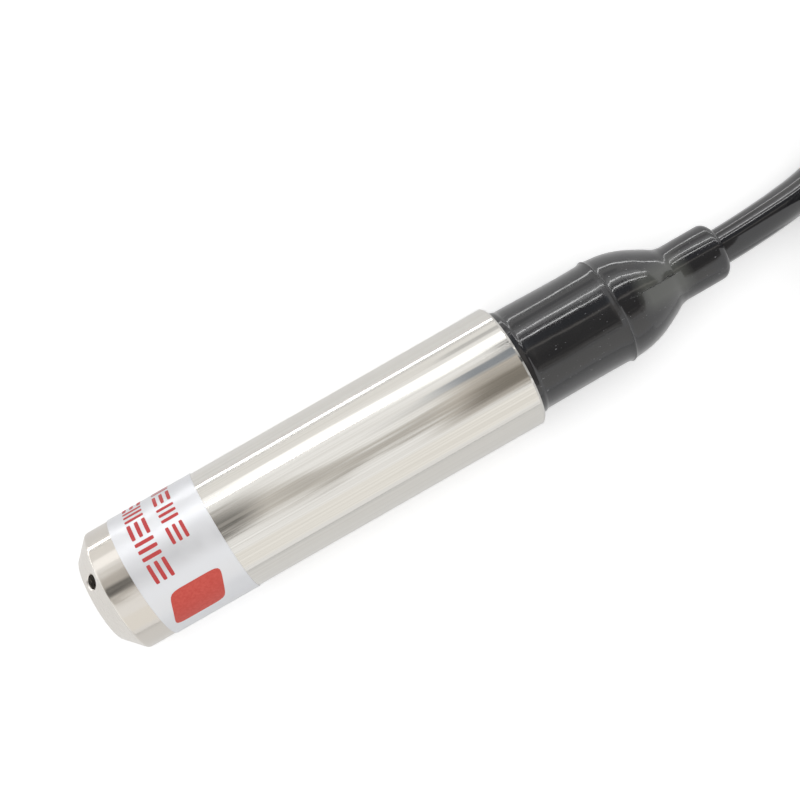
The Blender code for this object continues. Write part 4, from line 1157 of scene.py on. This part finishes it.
class LEVEL_PROBE_OT_label(bpy.types.Operator):
    """Wrap the foil label and print its plain marks"""

    bl_idname = "level_probe.label"
    bl_label = "Label"

    def execute(self, context):
        settings = context.scene.level_probe_label
        foil = foil_label(settings.foil)
        label = self.make_label(settings)
        finish_piece(label, foil, "label_foil", "label_band")
        rows = screen_ink("screen_ink_crimson", settings.ink, "#C83433")
        finish_piece(self.make_rows(settings), rows, "label_foil")
        large = screen_ink("screen_ink_red", settings.field_ink, "#D24F42")
        finish_piece(self.make_field(settings), large, "label_foil")
        return {"FINISHED"}

    def shifted(self, settings, turn, along, radius):
        lean = LABEL_R * turn * math.tan(settings.skew)
        return at(settings.start + along - lean, turn, radius)

    def make_label(self, settings):
        form = bmesh.new()
        inner_r = TUBE_R + LABEL_LIFT
        section = (
            (inner_r, 0.0),
            (LABEL_R - LABEL_EDGE, 0.0),
            (LABEL_R, LABEL_EDGE),
            (LABEL_R, settings.width / 2),
            (LABEL_R, settings.width - LABEL_EDGE),
            (LABEL_R - LABEL_EDGE, settings.width),
            (inner_r, settings.width),
        )
        rows = []
        for i in range(LABEL_SIDES + 1):
            turn = LABEL_FIRST + (LABEL_LAST - LABEL_FIRST) * i / LABEL_SIDES
            rows.append([form.verts.new(self.shifted(settings, turn, a, r)) for r, a in section])
        for here, there in zip(rows, rows[1:]):
            join_rings(form, here, there)
        form.faces.new(rows[0])
        form.faces.new(rows[-1][::-1])
        return mesh_object("foil_label", form)

    def make_rows(self, settings):
        """Two rows of small hatched blocks."""
        form = bmesh.new()
        for row in BLOCK_ROWS:
            self.add_row(form, settings, *row)
        return mesh_object("printed_rows", form)

    def make_field(self, settings):
        """One large leaning field."""
        form = bmesh.new()
        self.add_spot(form, settings, *FIELD)
        return mesh_object("printed_field", form)

    def add_row(self, form, settings, along, count, first_deg, size):
        """Blocks of three bars, which lie along the label and round it by turns."""
        bar = size / 5
        for i in range(count):
            turn = math.radians(first_deg) + i * BLOCK_PITCH / LABEL_R
            for j in (-1, 0, 1):
                offset = 2 * bar * j
                if i % 2:
                    spot = (turn + offset / LABEL_R, along, size, bar)
                else:
                    spot = (turn, along + offset, bar, size)
                self.add_spot(form, settings, *spot, BLOCK_CORNER)

    def add_spot(self, form, settings, turn, along, wide, high, corner, lean=0.0):
        """A rounded field of ink, bent round the label and leaning along it."""
        rings = max(3, round(max(wide, high) / MM))
        spokes = 64 if high > FINE_FROM else 32

        def place(share, angle):
            c, s = math.cos(angle), math.sin(angle)
            reach = share / (abs(c) ** corner + abs(s) ** corner) ** (1 / corner)
            across = reach * c * high / 2
            place_along = along + reach * s * wide / 2 + lean * across
            return self.shifted(settings, turn + across / LABEL_R, place_along, LABEL_R + INK_LIFT)

        centre = form.verts.new(place(0.0, 0.0))
        angles = [2 * math.pi * k / spokes for k in range(spokes)]
        loops = [[form.verts.new(place(i / rings, a)) for a in angles] for i in range(1, rings + 1)]
        for k in range(spokes):
            form.faces.new((centre, loops[0][(k + 1) % spokes], loops[0][k]))
        for here, there in zip(loops, loops[1:]):
            join_rings(form, here, there)


# Boot

BOOT_SIDES = 192
BOOT_WALL = 1.5 * MM
CABLE_FIT = 0.05 * MM
# The bore fits the cable to this far from the boot's end, then widens up to the second place
BORE_FITS_TO = 12.0 * MM
BORE_WIDE_FROM = 24.0 * MM
# Places from the tube's mouth on
LIP_END = 1.1 * MM
BODY_START = 2.0 * MM
SEAM_MIDDLE = 22.2 * MM
SHOULDER_START = 22.7 * MM
SHOULDER_END = 38.0 * MM
SEAM_HEIGHT = 0.24 * MM
SEAM_WIDTH = 0.5 * MM
WAIST_SPREAD = 1.5  # the waist is narrowest at half of this share of the body
NECK_ROUND = 1.8 * MM
UNEVENNESS = 0.02 * MM
# Share of the shoulder's length, and share of the way in from the body to the neck
SHOULDER_CURVE = (
    (0.0, 0.0),
    (0.22, 0.075),
    (0.36, 0.17),
    (0.5, 0.31),
    (0.64, 0.5),
    (0.78, 0.72),
    (0.9, 0.925),
    (1.0, 1.0),
)


class LEVEL_PROBE_OT_boot(bpy.types.Operator):
    """Mould the boot over the gland, with its lip, seam ridge, shoulder and neck"""

    bl_idname = "level_probe.boot"
    bl_label = "Cable boot"

    def execute(self, context):
        settings = context.scene.level_probe_boot
        outline = self.outer(settings)
        neck_bore = CABLE_R + CABLE_FIT
        end = NECK_END_X - NOSE_X
        start = BOOT_LOW.x - NOSE_X
        inner_r = settings.body_radius - BOOT_WALL
        outline += [(neck_bore, end), (neck_bore, end - BORE_FITS_TO)]
        outline += [(inner_r, end - BORE_WIDE_FROM), (inner_r, start)]
        boot = mesh_object("moulded_boot", turned_form(outline, BOOT_SIDES, self.dent))
        finish_piece(boot, moulded_rubber(settings.rubber), "boot_rubber", "cable_boot")
        return {"FINISHED"}

    def dent(self, turn, station):
        """Slow unevenness of the moulded skin."""
        if station < TUBE_END_X - NOSE_X + BODY_START:
            return 0.0
        wave = math.sin(3 * turn + station / (7 * MM)) + math.sin(5 * turn - station / (4 * MM))
        return UNEVENNESS * wave

    def outer(self, settings):
        """The outside, from the lip to the neck's rounded end."""
        rim = TUBE_END_X - NOSE_X
        start = BOOT_LOW.x - NOSE_X
        end = NECK_END_X - NOSE_X
        body, waist, neck = settings.body_radius, settings.waist_radius, settings.neck_radius
        lip_r = BOOT_HIGH.y
        points = [(lip_r, start), (lip_r, rim + LIP_END)]
        for i in range(6):
            t = i / 5
            station = rim + LIP_END + (BODY_START - LIP_END) * t
            points.append((lip_r - (lip_r - body) * ease(t), station))
        seam = rim + SEAM_MIDDLE
        first, span = rim + BODY_START, SEAM_MIDDLE - SEAM_WIDTH - BODY_START
        for i in range(1, 24):
            t = i / 24
            dip = math.sin(math.pi * min(1.0, t / WAIST_SPREAD)) ** 2
            points.append((body - (body - waist) * dip, first + span * t))
        for i in range(9):
            t = i / 8
            ridge = SEAM_HEIGHT * math.sin(math.pi * t) ** 2
            points.append((body + ridge, seam + SEAM_WIDTH * (t - 0.5)))
        shoulder_start, shoulder_end = rim + SHOULDER_START, rim + SHOULDER_END
        curve = [Vector((share, fall, 0.0)) for share, fall in SHOULDER_CURVE]
        for p in smooth_route(curve, 6)[1:]:
            station = shoulder_start + p.x * (shoulder_end - shoulder_start)
            points.append((body - p.y * (body - neck), station))
        straight = end - NECK_ROUND - shoulder_end
        points += [(neck, shoulder_end + t * straight) for t in (0.33, 0.66)]
        for i in range(9):
            turn = math.pi / 2 * i / 8
            station = end - NECK_ROUND * (1 - math.sin(turn))
            points.append((neck - NECK_ROUND * (1 - math.cos(turn)), station))
        return points


# Inside


class LEVEL_PROBE_OT_inside(bpy.types.Operator):
    """Finish the pieces inside the probe"""

    bl_idname = "level_probe.inside"
    bl_label = "Inside"

    def execute(self, context):
        steel = turned_stainless("#CFCBC5", "stainless_304_turned")
        rubber = plain_finish("nitrile_rubber_moulded", "#1A1A1B", "#222224", 0.5)
        brass = plain_finish("brass_turned", "#C9A45C", "#BE9750", 0.28, 1.0)
        plastic = plain_finish("nylon_moulded_white", "#E3E1DA", "#DAD8D0", 0.45)
        board = plain_finish("glass_epoxy_laminate", "#1F6B45", "#1A5F3D", 0.35)
        epoxy = plain_finish("epoxy_moulded_black", "#1E1E20", "#28282B", 0.5)
        blue = plain_finish("polyamide_moulded_blue", "#1F4E9A", "#1B4688", 0.45)
        can = plain_finish("aluminium_drawn_can", "#D9DADC", "#CFD0D3", 0.3, 1.0)
        red = plain_finish("pvc_wire_red", "#B5221C", "#A51E19", 0.35)
        black = plain_finish("pvc_wire_black", "#1C1C1E", "#242427", 0.35)
        vent = plain_finish("nylon_capillary", "#DAD9D2", "#CFCEC6", 0.35)
        jacket = cable_jacket("#1B1B1E")
        groups = (
            (steel, "sensor_cell", "diaphragm", "retaining_ring", "cell_header", "cell_vent_tube"),
            (steel, "terminal_screw_1", "terminal_screw_2", "thrust_washer"),
            (rubber, "nose_seal", "gland_seal", "cell_seal", "cable_grommet"),
            (brass, "gland_body", "gland_nut", "cable_ferrule"),
            (plastic, "front_board_holder", "rear_board_holder", "insulating_sleeve"),
            (plastic, "surge_arrester"),
            (board, "circuit_board"),
            (epoxy, "amplifier_chip", "loop_transistor"),
            (blue, "zero_trimmer", "span_trimmer", "terminal_block"),
            (can, "capacitor_1", "capacitor_2"),
            (red, "signal_wire_1", "signal_wire_3", "inner_core_red"),
            (black, "signal_wire_2", "signal_wire_4", "inner_core_black"),
            (vent, "vent_capillary"),
            (jacket, "cable_inner"),
        )
        for material, *names in groups:
            for name in names:
                paint(name, material)
        return {"FINISHED"}


class LEVEL_PROBE_PT_panel(bpy.types.Panel):
    """Lists the steps of the dressing"""

    bl_idname = "LEVEL_PROBE_PT_panel"
    bl_label = "Level probe"
    bl_space_type = "VIEW_3D"
    bl_region_type = "UI"
    bl_category = "Level probe"

    def draw(self, context):
        for operator in OPERATORS:
            self.layout.operator(operator.bl_idname)
        for name in SETTINGS:
            settings = getattr(context.scene, name)
            for key in settings.__annotations__:
                self.layout.prop(settings, key)


OPERATORS = (
    LEVEL_PROBE_OT_stage,
    LEVEL_PROBE_OT_straps,
    LEVEL_PROBE_OT_cable,
    LEVEL_PROBE_OT_body,
    LEVEL_PROBE_OT_label,
    LEVEL_PROBE_OT_boot,
    LEVEL_PROBE_OT_inside,
)
SETTINGS = {
    "level_probe_body": ProbeSettings,
    "level_probe_label": LabelSettings,
    "level_probe_boot": BootSettings,
    "level_probe_cable": CableSettings,
}


def register():
    for group in SETTINGS.values():
        bpy.utils.register_class(group)
    for operator in OPERATORS:
        bpy.utils.register_class(operator)
    bpy.utils.register_class(LEVEL_PROBE_PT_panel)
    for name, group in SETTINGS.items():
        setattr(bpy.types.Scene, name, PointerProperty(type=group))


def unregister():
    for name in SETTINGS:
        delattr(bpy.types.Scene, name)
    bpy.utils.unregister_class(LEVEL_PROBE_PT_panel)
    for operator in reversed(OPERATORS):
        bpy.utils.unregister_class(operator)
    for group in reversed(list(SETTINGS.values())):
        bpy.utils.unregister_class(group)


def main():
    register()
    bpy.ops.level_probe.stage()
    bpy.ops.level_probe.straps()
    bpy.ops.level_probe.cable()
    bpy.ops.level_probe.body()
    bpy.ops.level_probe.label()
    bpy.ops.level_probe.boot()
    bpy.ops.level_probe.inside()


if __name__ == "__main__":
    main()
